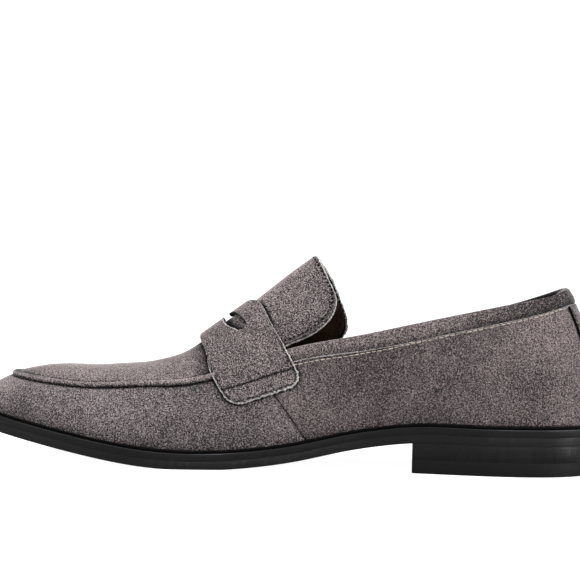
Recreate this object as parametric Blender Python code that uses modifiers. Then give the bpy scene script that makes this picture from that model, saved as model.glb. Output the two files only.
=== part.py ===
"""A right-foot suede penny loafer, standing empty on its sole.

World frame in metres: +Z up, the toe towards -X, the heel towards +X and the inner side of the
foot towards -Y. The origin is on the floor under the middle of the shoe. The tables are in
millimetres, with stations counted forward from the back of the sole.
"""

import math
from collections import namedtuple

import bmesh
import bpy
import numpy as np

MM = 0.001
GAP = 0.3

# Sole, millimetres
SOLE_EDGE = 7.7
WELT_DEPTH = 3.6
WELT_REACH_HEEL = 1.8
WELT_REACH_FORE = 2.6
WELT_FORE_FROM = 180.0
EDGE_BEVEL = 0.8
SPINE_LENGTH = 0.9
BREAST = 85.5
BREAST_HOLLOW = 3.0
BREAST_STEPS = 6
HEEL_STEPS = 32
HEEL_INSET = 0.4
HEEL_TAPER = 1.2
LIFT_BEVEL = 0.5
SEAT_EASE = 0.15
TOP_PIECE = 6.6

# Upper, millimetres
WALL = 2.0
LASTING_MARGIN = 8.0
LOW_RISE = 0.38
CROWN_RUN = 0.28
CROWN_RISE = 0.62
RIDGE_RUN = 0.42
INSTEP_RUN = 0.35
INSTEP_RISE = 0.33
INSTEP_RIDGE = 0.20
INSTEP_END = 190.0
INSTEP_FADE = 34.0
TOE_GATHER = 7.5
TOE_GATHER_FROM = 200.0
STEPS_A_ROW = 3
WALL_STEPS = 8
CROWN_STEPS = 8
THROAT = 8 + 1 / STEPS_A_ROW
INSOLE = 3.0
INSOLE_BEVEL = 0.6
INSOLE_CLEAR = 0.8

# Trim, millimetres
PIPING_RADIUS = 1.25
PIPING_START = 1.5
PIPING_STEPS = 60
STRAP = 1.85
STRAP_LIFT = 0.45
BINDING_HEIGHT = 7.0
BINDING_LINING = 5.5
BINDING = 0.9
BINDING_START = 0.6
BINDING_ROUND = 0.2
BINDING_STEPS = 44
BINDING_LEAN = 0.16
BINDING_LEAN_STEPS = 6
BACK_STRIP = 1.1
BACK_STRIP_TOP = 1.0
BACK_STRIP_FOOT = 0.62
BACK_STRIP_CLEAR = 0.2
BACK_STRIP_FROM = 0.02
TONGUE = 2.0
TONGUE_INSET = 4.2
TONGUE_CLEAR = 1.7
TONGUE_EDGE = 0.03
TONGUE_CLIMB = 45.0
TONGUE_LAST = 0.985
TONGUE_STEPS = (22, 16)

# One row a section, heel to toe. edge: where the upper meets the sole, half widths on the inner and
# outer side of the foot. top: the collar, then the apron seam; the outer side lies lower by top_drop.
# low_out, high_out and high_drop shape the wall between them.
Section = namedtuple(
    "Section", "edge_s edge_in edge_out top_s top_in top_out top_z top_drop low_out high_out high_drop")
SECTIONS = (
    Section(2.0, 0.0, 0.0, 15.0, 0.0, 0.0, 86.3, 0.0, 4.5, 11.5, 21.5),
    Section(5.0, 13.5, 13.5, 17.0, 9.5, 9.5, 85.9, 0.1, 4.3, 10.5, 20.5),
    Section(13.5, 23.5, 23.5, 23.0, 17.0, 17.0, 83.8, 0.4, 3.8, 8.0, 20.0),
    Section(29.0, 30.0, 30.2, 37.0, 23.0, 23.5, 80.0, 1.6, 3.2, 5.5, 19.0),
    Section(53.0, 31.5, 32.5, 58.0, 27.5, 28.0, 75.2, 3.2, 2.8, 4.0, 17.0),
    Section(82.0, 29.0, 33.5, 86.0, 30.8, 31.8, 68.8, 4.2, 3.2, 3.0, 15.0),
    Section(111.0, 28.0, 36.0, 114.0, 33.0, 34.5, 62.4, 4.2, 4.2, 2.5, 14.0),
    Section(141.0, 33.0, 41.5, 142.0, 35.0, 37.5, 56.4, 3.4, 4.5, 2.8, 13.0),
    Section(168.0, 41.0, 47.0, 168.0, 37.0, 39.5, 47.2, 1.8, 4.0, 3.5, 11.0),
    Section(192.0, 46.5, 50.0, 191.0, 37.2, 38.8, 40.4, 0.6, 3.2, 5.5, 7.0),
    Section(216.0, 47.5, 48.0, 214.0, 36.0, 36.0, 38.4, 0.0, 2.6, 6.5, 5.0),
    Section(241.0, 42.5, 41.0, 236.0, 32.2, 31.2, 36.6, 0.0, 2.4, 7.0, 4.0),
    Section(264.0, 34.0, 32.0, 256.5, 25.8, 24.6, 36.9, 0.0, 2.0, 7.8, 3.5),
    Section(283.0, 23.0, 21.5, 272.0, 17.4, 16.6, 38.0, 0.0, 1.6, 8.6, 3.2),
    Section(295.0, 12.0, 11.4, 280.5, 8.9, 8.5, 38.9, 0.0, 1.2, 9.4, 3.0),
    Section(299.5, 0.0, 0.0, 283.2, 0.0, 0.0, 39.2, 0.0, 1.0, 10.0, 3.0),
)
ROWS = len(SECTIONS) - 1
TURNS = 2 * ROWS

# Height of the sole's top above the floor along the foot
Profile = namedtuple("Profile", "s z")
SOLE_TOP = (
    Profile(0.0, 22.2), Profile(30.0, 22.2), Profile(60.0, 22.2), Profile(82.0, 22.0),
    Profile(100.0, 19.9), Profile(118.0, 16.6), Profile(138.0, 12.0), Profile(156.0, 9.2),
    Profile(172.0, 7.8), Profile(188.0, 7.4), Profile(206.0, 8.1), Profile(232.0, 11.2),
    Profile(256.0, 15.1), Profile(284.0, 19.8), Profile(302.0, 22.8),
)

# Ridge of the instep: apron, then the tongue's line; it leans to the inner side (y below zero)
Ridge = namedtuple("Ridge", "s y z")
RIDGE = (
    Ridge(118.0, -4.0, 113.5), Ridge(136.0, -4.0, 100.5), Ridge(150.0, -4.0, 90.0),
    Ridge(163.0, -3.5, 79.4), Ridge(178.0, -3.0, 68.2), Ridge(190.0, -2.5, 59.3),
    Ridge(198.0, -2.0, 53.6), Ridge(207.0, -1.5, 49.6), Ridge(217.0, -1.2, 46.9),
    Ridge(229.0, -0.8, 45.7), Ridge(242.0, -0.4, 44.7), Ridge(257.0, 0.0, 44.7),
    Ridge(267.0, 0.0, 43.9), Ridge(277.0, 0.0, 41.9),
)

# Outline of the tongue on each side, from above its foot to its tip: station, and climb to the ridge
TongueEdge = namedtuple("TongueEdge", "s climb")
TONGUE_IN = (
    TongueEdge(160.0, 0.03), TongueEdge(143.5, 0.04), TongueEdge(133.5, 0.068), TongueEdge(128.5, 0.15),
    TongueEdge(125.0, 0.215), TongueEdge(123.3, 0.275), TongueEdge(123.0, 0.32), TongueEdge(124.1, 0.385),
    TongueEdge(126.75, 0.48), TongueEdge(131.25, 0.665), TongueEdge(135.4, 0.92), TongueEdge(136.3, 1.0),
)
TONGUE_OUT = (
    TongueEdge(160.0, 0.03), TongueEdge(140.0, 0.03), TongueEdge(129.0, 0.036), TongueEdge(125.6, 0.062),
    TongueEdge(123.8, 0.105), TongueEdge(123.0, 0.175), TongueEdge(123.75, 0.25), TongueEdge(125.5, 0.325),
    TongueEdge(127.25, 0.415), TongueEdge(129.75, 0.54), TongueEdge(133.5, 0.73), TongueEdge(136.3, 1.0),
)

# Strap edges, from the ridge (reach 0) over the seam line (SEAM_REACH) to its end (reach 1)
StrapEdge = namedtuple("StrapEdge", "reach front rear")
SEAM_REACH = 0.75
STRAP_EDGES = (
    StrapEdge(0.0, 189.9, 164.5), StrapEdge(0.45, 185.3, 155.1),
    StrapEdge(SEAM_REACH, 179.2, 144.2), StrapEdge(1.0, 170.5, 137.8),
)
STRAP_END_FRONT = 0.53
STRAP_END_REAR = 0.61
STRAP_CORNER = 0.09
STRAP_TRIM = 0.17
STRAP_STEPS = (26, 6, 4)
SLOT_REACH = 0.40
SLOT_REAR = 0.615
SLOT_DEPTH = 0.195
SLOT_BOW = 5
SLOT_CUSP = 0.04
SLOT_CUSP_REACH = 0.3
SLOT_STEPS = 14
CUTTER_BELOW = -1.5
CUTTER_ABOVE = 5.0


class Fair:
    """A smooth curve through the rows of a table, open or closed on itself."""

    def __init__(self, values, stations=None, closed=False):
        values = np.asarray(values, float)
        count = len(values)
        self.closed = closed
        self.knots = np.arange(count + 1.0) if closed else np.asarray(stations, float)
        self.values = np.concatenate([values, values[:1]]) if closed else values
        steps = np.diff(self.knots)
        slopes = np.diff(self.values, axis=0) / steps.reshape(-1, *[1] * (values.ndim - 1))
        matrix = np.eye(count)
        right = np.zeros_like(values)
        for row in range(count):
            if not closed and row in (0, count - 1):
                continue
            before, after = steps[row - 1], steps[row]
            matrix[row, row] = 2.0 * (before + after)
            matrix[row, row - 1] = before
            matrix[row, (row + 1) % count] = after
            right[row] = 6.0 * (slopes[row] - slopes[row - 1])
        bend = np.linalg.solve(matrix, right)
        self.bend = np.concatenate([bend, bend[:1]]) if closed else bend

    def __call__(self, at):
        at = np.asarray(at, float)
        if self.closed:
            at = np.mod(at, self.knots[-1])
        low = np.clip(np.searchsorted(self.knots, at, side="right") - 1, 0, len(self.knots) - 2)
        step = self.knots[low + 1] - self.knots[low]
        a = (self.knots[low + 1] - at) / step
        shape = a.shape + (1,) * (self.values.ndim - 1)
        a = a.reshape(shape)
        step = step.reshape(shape)
        b = 1.0 - a
        line = a * self.values[low] + b * self.values[low + 1]
        sag = (a**3 - a) * self.bend[low] + (b**3 - b) * self.bend[low + 1]
        return line + sag * step**2 / 6.0


def round_the_foot(inner, outer):
    """Rows of the inner side from heel to toe, then of the outer side back to the heel."""
    return [inner(row) for row in SECTIONS] + [outer(row) for row in SECTIONS[-2:0:-1]]


EDGE = Fair(round_the_foot(lambda r: (-r.edge_s, -r.edge_in),
                           lambda r: (-r.edge_s, r.edge_out)), closed=True)
TOP = Fair(round_the_foot(lambda r: (-r.top_s, -r.top_in, r.top_z),
                          lambda r: (-r.top_s, r.top_out, r.top_z - r.top_drop)), closed=True)
SHAPE = Fair(round_the_foot(*[lambda r: (r.low_out, r.high_out, r.high_drop)] * 2), closed=True)
SOLE_LINE = Fair([row.z for row in SOLE_TOP], [row.s for row in SOLE_TOP])
RIDGE_LINE = Fair([(row.y, row.z) for row in RIDGE], [row.s for row in RIDGE])
STRAP_LINES = Fair([(row.front, row.rear) for row in STRAP_EDGES], [row.reach for row in STRAP_EDGES])
HALF_TURNS = np.linspace(0.0, ROWS, 40 * ROWS + 1)
TOP_STATIONS = -TOP(HALF_TURNS)[:, 0]


def turn_at(station, side):
    """Place on the loop where the top line passes a station; side is -1 inner, +1 outer."""
    turn = np.interp(station, TOP_STATIONS, HALF_TURNS)
    return turn if side < 0 else TURNS - turn


def bezier(points, at):
    at = np.asarray(at, float)[..., None]
    rest = 1.0 - at
    near = rest**3 * points[0] + 3.0 * rest**2 * at * points[1]
    return near + 3.0 * rest * at**2 * points[2] + at**3 * points[3]


def outward(turn):
    """Level unit vector that points out of the foot at a place on the loop."""
    run = EDGE(turn + 0.01) - EDGE(turn - 0.01)
    out = np.stack([-run[..., 1], run[..., 0], np.zeros_like(run[..., 0])], -1)
    return out / np.linalg.norm(out, axis=-1, keepdims=True)


def at_height(plan, height):
    return np.concatenate([plan, np.asarray(height, float)[..., None]], -1)


def sole_top(x):
    return SOLE_LINE(-np.asarray(x, float))


def wall(turn, rise):
    """Outer face of the upper's side: rise 0 at the sole, 1 at the collar or apron seam."""
    plan = EDGE(turn)
    foot = at_height(plan, sole_top(plan[..., 0]) + GAP)
    top = TOP(turn)
    low_out, high_out, high_drop = np.moveaxis(SHAPE(turn), -1, 0)[..., None]
    out = outward(turn)
    up = np.array([0.0, 0.0, 1.0])
    low = foot + out * low_out + up * LOW_RISE * (top - foot)[..., 2:]
    high = top + out * high_out - up * high_drop
    return bezier((foot, low, high, top), rise)


def crown(turn, climb):
    """Outer face of the apron and its run under the strap: climb 0 at the seam, 1 at the ridge."""
    top = TOP(turn)
    station = -top[..., 0]
    ahead = np.clip((station - TOE_GATHER_FROM) / (SECTIONS[-1].top_s - TOE_GATHER_FROM), 0.0, 1.0)
    fore = np.clip((station - INSTEP_END) / INSTEP_FADE, 0.0, 1.0)
    fore = (fore**2 * (3.0 - 2.0 * fore))[..., None]
    run = INSTEP_RUN + (CROWN_RUN - INSTEP_RUN) * fore
    rise = INSTEP_RISE + (CROWN_RISE - INSTEP_RISE) * fore
    ridge_run = INSTEP_RIDGE + (RIDGE_RUN - INSTEP_RIDGE) * fore
    station = station - TOE_GATHER * ahead**2
    ridge = np.concatenate([-station[..., None], RIDGE_LINE(station)], -1)
    fall = (RIDGE_LINE(station - 0.5) - RIDGE_LINE(station + 0.5))[..., 1]
    across = (ridge - top) * np.array([1.0, 1.0, 0.0])
    start = top + run * across
    start[..., 2] += rise[..., 0] * (ridge - top)[..., 2]
    end = ridge - ridge_run * across
    end[..., 2] -= ridge_run[..., 0] * across[..., 0] * fall
    return bezier((top, start, end, ridge), climb)


def facing(surface, turn, along, reach=0.02):
    """Unit normal that points out of the shoe."""
    run = surface(turn + reach, along) - surface(turn - reach, along)
    climb = surface(turn, along + reach) - surface(turn, along - reach)
    normal = np.cross(climb, run)
    return normal / np.linalg.norm(normal, axis=-1, keepdims=True)


def proud(surface, turn, along, height):
    return surface(turn, along) + facing(surface, turn, along) * height


def saddle(front_to_rear, reach):
    """The face that the strap lies on: reach -1 inner end, 0 ridge, +1 outer end."""
    side = np.where(reach < 0, -1, 1)
    far = np.abs(reach)
    edges = STRAP_LINES(far)
    station = edges[..., 0] + (edges[..., 1] - edges[..., 0]) * front_to_rear
    inner = turn_at(station, -1)
    turn = np.where(side < 0, inner, TURNS - inner)
    climb = np.clip(1.0 - far / SEAM_REACH, 0.0, 1.0)
    end = STRAP_END_FRONT + (STRAP_END_REAR - STRAP_END_FRONT) * front_to_rear
    rise = 1.0 - np.clip((far - SEAM_REACH) / (1.0 - SEAM_REACH), 0.0, None) * (1.0 - end)
    return np.where((far < SEAM_REACH)[..., None], crown(turn, climb), wall(turn, rise))


def saddle_facing(front_to_rear, reach, step=0.06):
    run = saddle(front_to_rear + step, reach) - saddle(front_to_rear - step, reach)
    climb = saddle(front_to_rear, reach + step) - saddle(front_to_rear, reach - step)
    normal = np.cross(run, climb)
    return normal / np.linalg.norm(normal, axis=-1, keepdims=True)


def weave(mesh, points, flip=False):
    """Adds a grid of points to the mesh as quads."""
    rows = [[mesh.verts.new(point * MM) for point in row] for row in np.asarray(points, float)]
    for low, high in zip(rows, rows[1:]):
        for a, b, c, d in zip(low, low[1:], high[1:], high):
            mesh.faces.new((d, c, b, a) if flip else (a, b, c, d))


def finish_mesh(name, mesh, material, collection, root, sharp=40.0):
    """Welds a mesh, makes it a named part and shades it smooth."""
    bmesh.ops.remove_doubles(mesh, verts=mesh.verts, dist=0.00001)
    bmesh.ops.dissolve_degenerate(mesh, edges=mesh.edges, dist=0.00001)
    data = bpy.data.meshes.new(name)
    mesh.to_mesh(data)
    mesh.free()
    data.shade_smooth()
    data.set_sharp_from_angle(angle=math.radians(sharp))
    part = bpy.data.objects.new(name, data)
    part.data.materials.append(material)
    part.parent = root
    collection.objects.link(part)
    return part


def make_material(name, colour, roughness):
    material = bpy.data.materials.new(name)
    material.use_nodes = True
    shader = material.node_tree.nodes["Principled BSDF"]
    shader.inputs["Base Color"].default_value = (*colour, 1.0)
    shader.inputs["Roughness"].default_value = roughness
    shader.inputs["Metallic"].default_value = 0.0
    return material


def add_wall_thickness(part, thickness):
    shell = part.modifiers.new("Wall", "SOLIDIFY")
    shell.thickness = thickness * MM
    shell.offset = -1.0
    shell.use_even_offset = True
    shell.use_quality_normals = True


def spine(turn):
    """Middle line of the foot, drawn in from heel and toe, for closing a flat layer."""
    row = ROWS - np.abs(np.mod(turn, TURNS) - ROWS)
    ends = 0.5 * (EDGE(row) + EDGE(TURNS - row))
    middle = np.array([-0.5 * (SECTIONS[0].edge_s + SECTIONS[-1].edge_s), 0.0])
    return middle + (ends - middle) * np.array([SPINE_LENGTH, 1.0])


def layer(name, outline, rings, material, collection, root):
    """A flat layer of the sole: rings are (inset, height over a point), from the top down."""
    turns = np.append(np.arange(0.0, TURNS, 0.5), 0.0)
    middle = spine(turns)
    rows = []
    levels = [(0.5, *rings[0]), *[(0.0, *ring) for ring in rings], (0.5, *rings[-1])]
    for blend, inset, height in [(1.0, *rings[0]), *levels, (1.0, *rings[-1])]:
        plan = outline(turns, inset)
        plan = plan + (middle - plan) * blend
        rows.append(at_height(plan, height(plan[..., 0])))
    mesh = bmesh.new()
    weave(mesh, rows)
    return finish_mesh(name, mesh, material, collection, root)


def sole_outline(turn, inset):
    plan = EDGE(turn)
    fore = np.clip(-plan[..., 0] / WELT_FORE_FROM, 0.0, 1.0)[..., None]
    reach = WELT_REACH_HEEL + (WELT_REACH_FORE - WELT_REACH_HEEL) * fore
    return plan + outward(turn)[..., :2] * (reach - inset)


def build_welt(material, collection, root):
    rings = (
        (EDGE_BEVEL, sole_top),
        (0.0, lambda x: sole_top(x) - EDGE_BEVEL),
        (0.0, lambda x: sole_top(x) - WELT_DEPTH),
    )
    return layer("welt", sole_outline, rings, material, collection, root)


def sole_bottom(x):
    return np.maximum(sole_top(x) - SOLE_EDGE, 0.0)


def build_outsole(material, collection, root):
    rings = (
        (0.0, lambda x: sole_top(x) - WELT_DEPTH - GAP),
        (0.0, lambda x: sole_bottom(x) + EDGE_BEVEL),
        (EDGE_BEVEL, sole_bottom),
    )
    return layer("outsole", sole_outline, rings, material, collection, root)


def inside_line(turn, inset):
    """Outline that clears the upper's inner face at the insole's top."""
    plan = EDGE(turn)
    out = outward(turn)[..., :2]
    reach = GAP + WALL + GAP + INSOLE + WALL
    lean = np.zeros(np.shape(turn))
    for rise in np.linspace(0.0, 0.6, 13):
        point = wall(turn, np.full(np.shape(turn), rise))
        low = point[..., 2] - sole_top(plan[..., 0]) < reach
        inward = ((plan - point[..., :2]) * out).sum(-1)
        lean = np.maximum(lean, np.where(low, inward, 0.0))
    return plan - out * (lean + WALL + INSOLE_CLEAR + inset)[..., None]


def build_insole(material, collection, root):
    seat = GAP + WALL + GAP
    rings = (
        (INSOLE_BEVEL, lambda x: sole_top(x) + seat + INSOLE),
        (0.0, lambda x: sole_top(x) + seat + INSOLE - INSOLE_BEVEL),
        (0.0, lambda x: sole_top(x) + seat),
    )
    return layer("insole", inside_line, rings, material, collection, root)


def heel_ring(inset, height):
    """Outline of the heel at one height: round the back, then across the hollow breast."""
    turns = np.linspace(0.0, ROWS, 601)
    corner = np.interp(BREAST, -sole_outline(turns, HEEL_INSET + inset)[:, 0], turns)
    around = np.linspace(-corner, corner, HEEL_STEPS + 1)
    curve = sole_outline(around, HEEL_INSET + inset)
    across = np.linspace(0.0, 1.0, BREAST_STEPS + 1)[1:-1, None]
    breast = curve[-1] + (curve[0] - curve[-1]) * across
    breast[:, :1] += BREAST_HOLLOW * 4.0 * across * (1.0 - across)
    ring = np.concatenate([curve, breast])
    ring[:, 0] = np.maximum(ring[:, 0], -BREAST + inset)
    return at_height(ring, height(ring[:, 0]))


def under_seat(x):
    return sole_bottom(x) - GAP - SEAT_EASE


def top_piece_joint(x):
    return np.full_like(x, TOP_PIECE)


def build_heel_piece(name, top, bottom, insets, material, collection, root):
    """A lift of the heel with small bevels above and below; insets at its top and bottom."""
    high, low = insets
    rings = [
        heel_ring(high + LIFT_BEVEL, top),
        heel_ring(high, lambda x: top(x) - LIFT_BEVEL),
        heel_ring(low, lambda x: np.full_like(x, bottom + LIFT_BEVEL)),
        heel_ring(low + LIFT_BEVEL, lambda x: np.full_like(x, bottom)),
    ]
    mesh = bmesh.new()
    loops = [[mesh.verts.new(point * MM) for point in ring] for ring in rings]
    for upper, lower in zip(loops, loops[1:]):
        for index in range(len(upper)):
            after = (index + 1) % len(upper)
            mesh.faces.new((upper[index], upper[after], lower[after], lower[index]))
    mesh.faces.new(reversed(loops[0]))
    mesh.faces.new(loops[-1])
    bmesh.ops.recalc_face_normals(mesh, faces=mesh.faces)
    return finish_mesh(name, mesh, material, collection, root)


def build_upper(material, collection, root):
    """Wall round the foot with its lasting margin, and the apron over the toes."""
    turns = np.append(np.arange(STEPS_A_ROW * TURNS) / STEPS_A_ROW, 0.0)
    margin = EDGE(turns) - outward(turns)[..., :2] * LASTING_MARGIN
    rows = [at_height(margin, sole_top(margin[:, 0]) + GAP)]
    rows += [wall(turns, np.full(len(turns), rise)) for rise in np.linspace(0.0, 1.0, WALL_STEPS + 1)]
    mesh = bmesh.new()
    weave(mesh, rows, flip=True)
    turns = np.linspace(THROAT, TURNS - THROAT, round(STEPS_A_ROW * (TURNS - 2 * THROAT)) + 1)
    climbs = np.linspace(0.0, 1.0, CROWN_STEPS + 1)
    weave(mesh, [crown(turns, np.full(len(turns), climb)) for climb in climbs], flip=True)
    upper = finish_mesh("upper", mesh, material, collection, root)
    add_wall_thickness(upper, WALL)
    return upper


def tongue_side(marks, foot):
    """Curve along one side of the tongue's outline, from its foot to its tip, 0 to 1 by length."""
    points = np.array([TongueEdge(foot, TONGUE_EDGE), *marks])
    steps = np.linalg.norm(np.diff(points * (1.0, TONGUE_CLIMB), axis=0), axis=1)
    return Fair(points, np.append(0.0, np.cumsum(steps)) / steps.sum())


def build_tongue(material, collection, root):
    """Tab that carries on the instep's line behind the apron, set inside the collar."""
    foot = -float(TOP(THROAT)[0]) - TONGUE_CLEAR
    sides = {-1: tongue_side(TONGUE_IN, foot), 1: tongue_side(TONGUE_OUT, foot)}
    rows = []
    length_steps, width_steps = TONGUE_STEPS
    for along in np.linspace(0.0, TONGUE_LAST, length_steps + 1):
        ridge = np.array([foot + (TONGUE_IN[-1].s - foot) * along, 1.0])
        row = []
        for across in np.linspace(-1.0, 1.0, width_steps + 1):
            side = -1 if across < 0 else 1
            station, climb = ridge + (sides[side](along) - ridge) * abs(across)
            turn = np.array(turn_at(station, side))
            row.append(crown(turn, np.array(climb)) - outward(turn) * TONGUE_INSET * (1.0 - climb) ** 3)
        rows.append(row)
    mesh = bmesh.new()
    weave(mesh, rows, flip=True)
    tongue = finish_mesh("tongue", mesh, material, collection, root)
    add_wall_thickness(tongue, TONGUE)
    return tongue


def strap_grid(reaches, height):
    """Points on the strap, with its ends rounded at the corners."""
    rows = []
    for reach in reaches:
        into = max(0.0, abs(reach) - (1.0 - STRAP_CORNER)) / STRAP_CORNER
        trim = STRAP_TRIM * (1.0 - math.sqrt(max(0.0, 1.0 - into**2)))
        across = np.linspace(trim, 1.0 - trim, STRAP_STEPS[1] + 1)
        reach = np.full(len(across), reach)
        rows.append(saddle(across, reach) + saddle_facing(across, reach) * height)
    return rows


def build_strap(material, collection, root, cutters):
    """Saddle strap over the instep, with the half-moon slot cut through its middle."""
    ends = np.linspace(1.0 - STRAP_CORNER, 1.0, STRAP_STEPS[2] + 1)
    middle = np.linspace(STRAP_CORNER - 1.0, 1.0 - STRAP_CORNER, STRAP_STEPS[0] + 1)
    middle = np.union1d(middle, (-SEAM_REACH, SEAM_REACH))
    reaches = np.concatenate([-ends[:0:-1], middle, ends[1:]])
    mesh = bmesh.new()
    weave(mesh, strap_grid(reaches, STRAP_LIFT + STRAP))
    strap = finish_mesh("penny_strap", mesh, material, collection, root)
    add_wall_thickness(strap, STRAP)
    cut = strap.modifiers.new("Slot", "BOOLEAN")
    cut.operation = "DIFFERENCE"
    cut.solver = "EXACT"
    cut.object = build_slot_cutter(cutters, root)
    return strap


def build_slot_cutter(cutters, root):
    """Closed prism of the slot's outline: straight behind, two shallow bows in front."""
    reach = np.linspace(-SLOT_REACH, SLOT_REACH, SLOT_STEPS + 1)
    bow = np.sqrt(1.0 - np.abs(reach / SLOT_REACH) ** SLOT_BOW)
    cusp = SLOT_CUSP * np.exp(-(reach / (SLOT_CUSP_REACH * SLOT_REACH)) ** 2)
    front = SLOT_REAR - (SLOT_DEPTH * bow - cusp)
    outline = [(SLOT_REAR, r) for r in reach] + [(f, r) for f, r in zip(front, reach)][-2:0:-1]
    across, reach = np.array(outline).T
    mesh = bmesh.new()
    loops = []
    for height in (CUTTER_BELOW, CUTTER_ABOVE):
        points = saddle(across, reach) + saddle_facing(across, reach) * height
        loops.append([mesh.verts.new(point * MM) for point in points])
    count = len(outline)
    for index in range(count):
        after = (index + 1) % count
        mesh.faces.new((loops[0][index], loops[0][after], loops[1][after], loops[1][index]))
    for loop in loops:
        mesh.faces.new(loop)
    bmesh.ops.triangulate(mesh, faces=[face for face in mesh.faces if len(face.verts) > 4])
    bmesh.ops.recalc_face_normals(mesh, faces=mesh.faces)
    data = bpy.data.meshes.new("slot_cutter")
    mesh.to_mesh(data)
    mesh.free()
    cutter = bpy.data.objects.new("slot_cutter", data)
    cutter.parent = root
    cutter.hide_render = True
    cutter.display_type = "WIRE"
    cutters.objects.link(cutter)
    return cutter


def build_piping(material, collection, root):
    """Round lip that lies along the apron seam from one side of the strap to the other."""
    start = float(turn_at(STRAP_EDGES[2].front + PIPING_START, -1))
    turns = np.linspace(start, TURNS - start, PIPING_STEPS + 1)
    low = facing(wall, turns, np.full(len(turns), 0.98))
    high = facing(crown, turns, np.full(len(turns), 0.02))
    normal = low + high
    normal /= np.linalg.norm(normal, axis=-1, keepdims=True)
    path = TOP(turns) + normal * (PIPING_RADIUS + GAP)
    curve = bpy.data.curves.new("apron_piping", "CURVE")
    curve.dimensions = "3D"
    curve.bevel_depth = PIPING_RADIUS * MM
    curve.bevel_resolution = 2
    curve.use_fill_caps = True
    line = curve.splines.new("POLY")
    line.points.add(len(path) - 1)
    line.use_smooth = True
    for point, place in zip(line.points, path):
        point.co = (*(place * MM), 1.0)
    piping = bpy.data.objects.new("apron_piping", curve)
    piping.data.materials.append(material)
    piping.parent = root
    collection.objects.link(piping)
    return piping


def down_the_wall(turn, depth):
    """Rise on the wall that lies a given depth below its top edge, measured along the wall."""
    rises = np.linspace(1.0, 0.4, 25)
    places = np.stack([wall(turn, np.full(len(turn), rise)) for rise in rises])
    run = np.cumsum(np.linalg.norm(np.diff(places, axis=0), axis=-1), axis=0)
    run = np.concatenate([np.zeros((1, len(turn))), run])
    return np.array([np.interp(depth, run[:, index], rises) for index in range(len(turn))])


def build_binding(material, collection, root):
    """Folded band over the collar: outer face, rounded top and a short face inside."""
    start = float(turn_at(STRAP_EDGES[2].rear - BINDING_START, -1))
    turns = np.linspace(start, -start, BINDING_STEPS + 1)
    lean = BINDING_LEAN * np.clip(1.0 - np.arange(len(turns)) / BINDING_LEAN_STEPS, 0.0, 1.0)
    lean = lean - lean[::-1]

    def place(depth, height, lift=0.0):
        shifted = turns - lean * depth / BINDING_HEIGHT
        rise = down_the_wall(shifted, depth)
        edge_way = wall(shifted, rise) - wall(shifted, rise - 0.02)
        edge_way /= np.linalg.norm(edge_way, axis=-1, keepdims=True)
        return proud(wall, shifted, rise, height) + edge_way * lift

    near, far = GAP, GAP + BINDING
    inner_near, inner_far = -(WALL + GAP), -(WALL + GAP + BINDING)
    section = [
        place(BINDING_HEIGHT, near), place(BINDING_HEIGHT, far), place(0.5 * BINDING_HEIGHT, far),
        place(0.0, far, BINDING_ROUND), place(0.0, 0.0, far), place(0.0, -WALL, far),
        place(0.0, inner_far, BINDING_ROUND), place(BINDING_LINING, inner_far),
        place(BINDING_LINING, inner_near), place(0.0, inner_near, GAP), place(0.0, near, GAP),
    ]
    mesh = bmesh.new()
    weave(mesh, section + section[:1], flip=True)
    bmesh.ops.remove_doubles(mesh, verts=mesh.verts, dist=0.00001)
    bmesh.ops.holes_fill(mesh, edges=[edge for edge in mesh.edges if edge.is_boundary], sides=0)
    bmesh.ops.recalc_face_normals(mesh, faces=mesh.faces)
    return finish_mesh("collar_binding", mesh, material, collection, root)


def build_back_strip(material, collection, root):
    """Overlay down the back of the heel, from the binding to the sole."""
    rows = []
    across = np.linspace(-1.0, 1.0, 11)
    top_rise = float(down_the_wall(np.array([0.0]), BINDING_HEIGHT + GAP + BACK_STRIP_CLEAR)[0])
    for rise in np.linspace(BACK_STRIP_FROM, top_rise, 12):
        half = BACK_STRIP_FOOT + (BACK_STRIP_TOP - BACK_STRIP_FOOT) * rise / top_rise
        turns = across * half
        rows.append(proud(wall, turns, np.full(len(turns), rise), GAP + BACK_STRIP))
    mesh = bmesh.new()
    weave(mesh, rows, flip=True)
    strip = finish_mesh("back_strip", mesh, material, collection, root)
    add_wall_thickness(strip, BACK_STRIP)
    return strip


def stand_on_origin(root, parts):
    """Puts the middle of the shoe's box over the origin, with its sole on the floor."""
    bpy.context.view_layer.update()
    graph = bpy.context.evaluated_depsgraph_get()
    corners = []
    for part in parts:
        ready = part.evaluated_get(graph)
        mesh = ready.to_mesh()
        corners += [tuple(vertex.co) for vertex in mesh.vertices]
        ready.to_mesh_clear()
    low, high = np.min(corners, axis=0), np.max(corners, axis=0)
    root.location = (-0.5 * (low[0] + high[0]), -0.5 * (low[1] + high[1]), -low[2])


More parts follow.
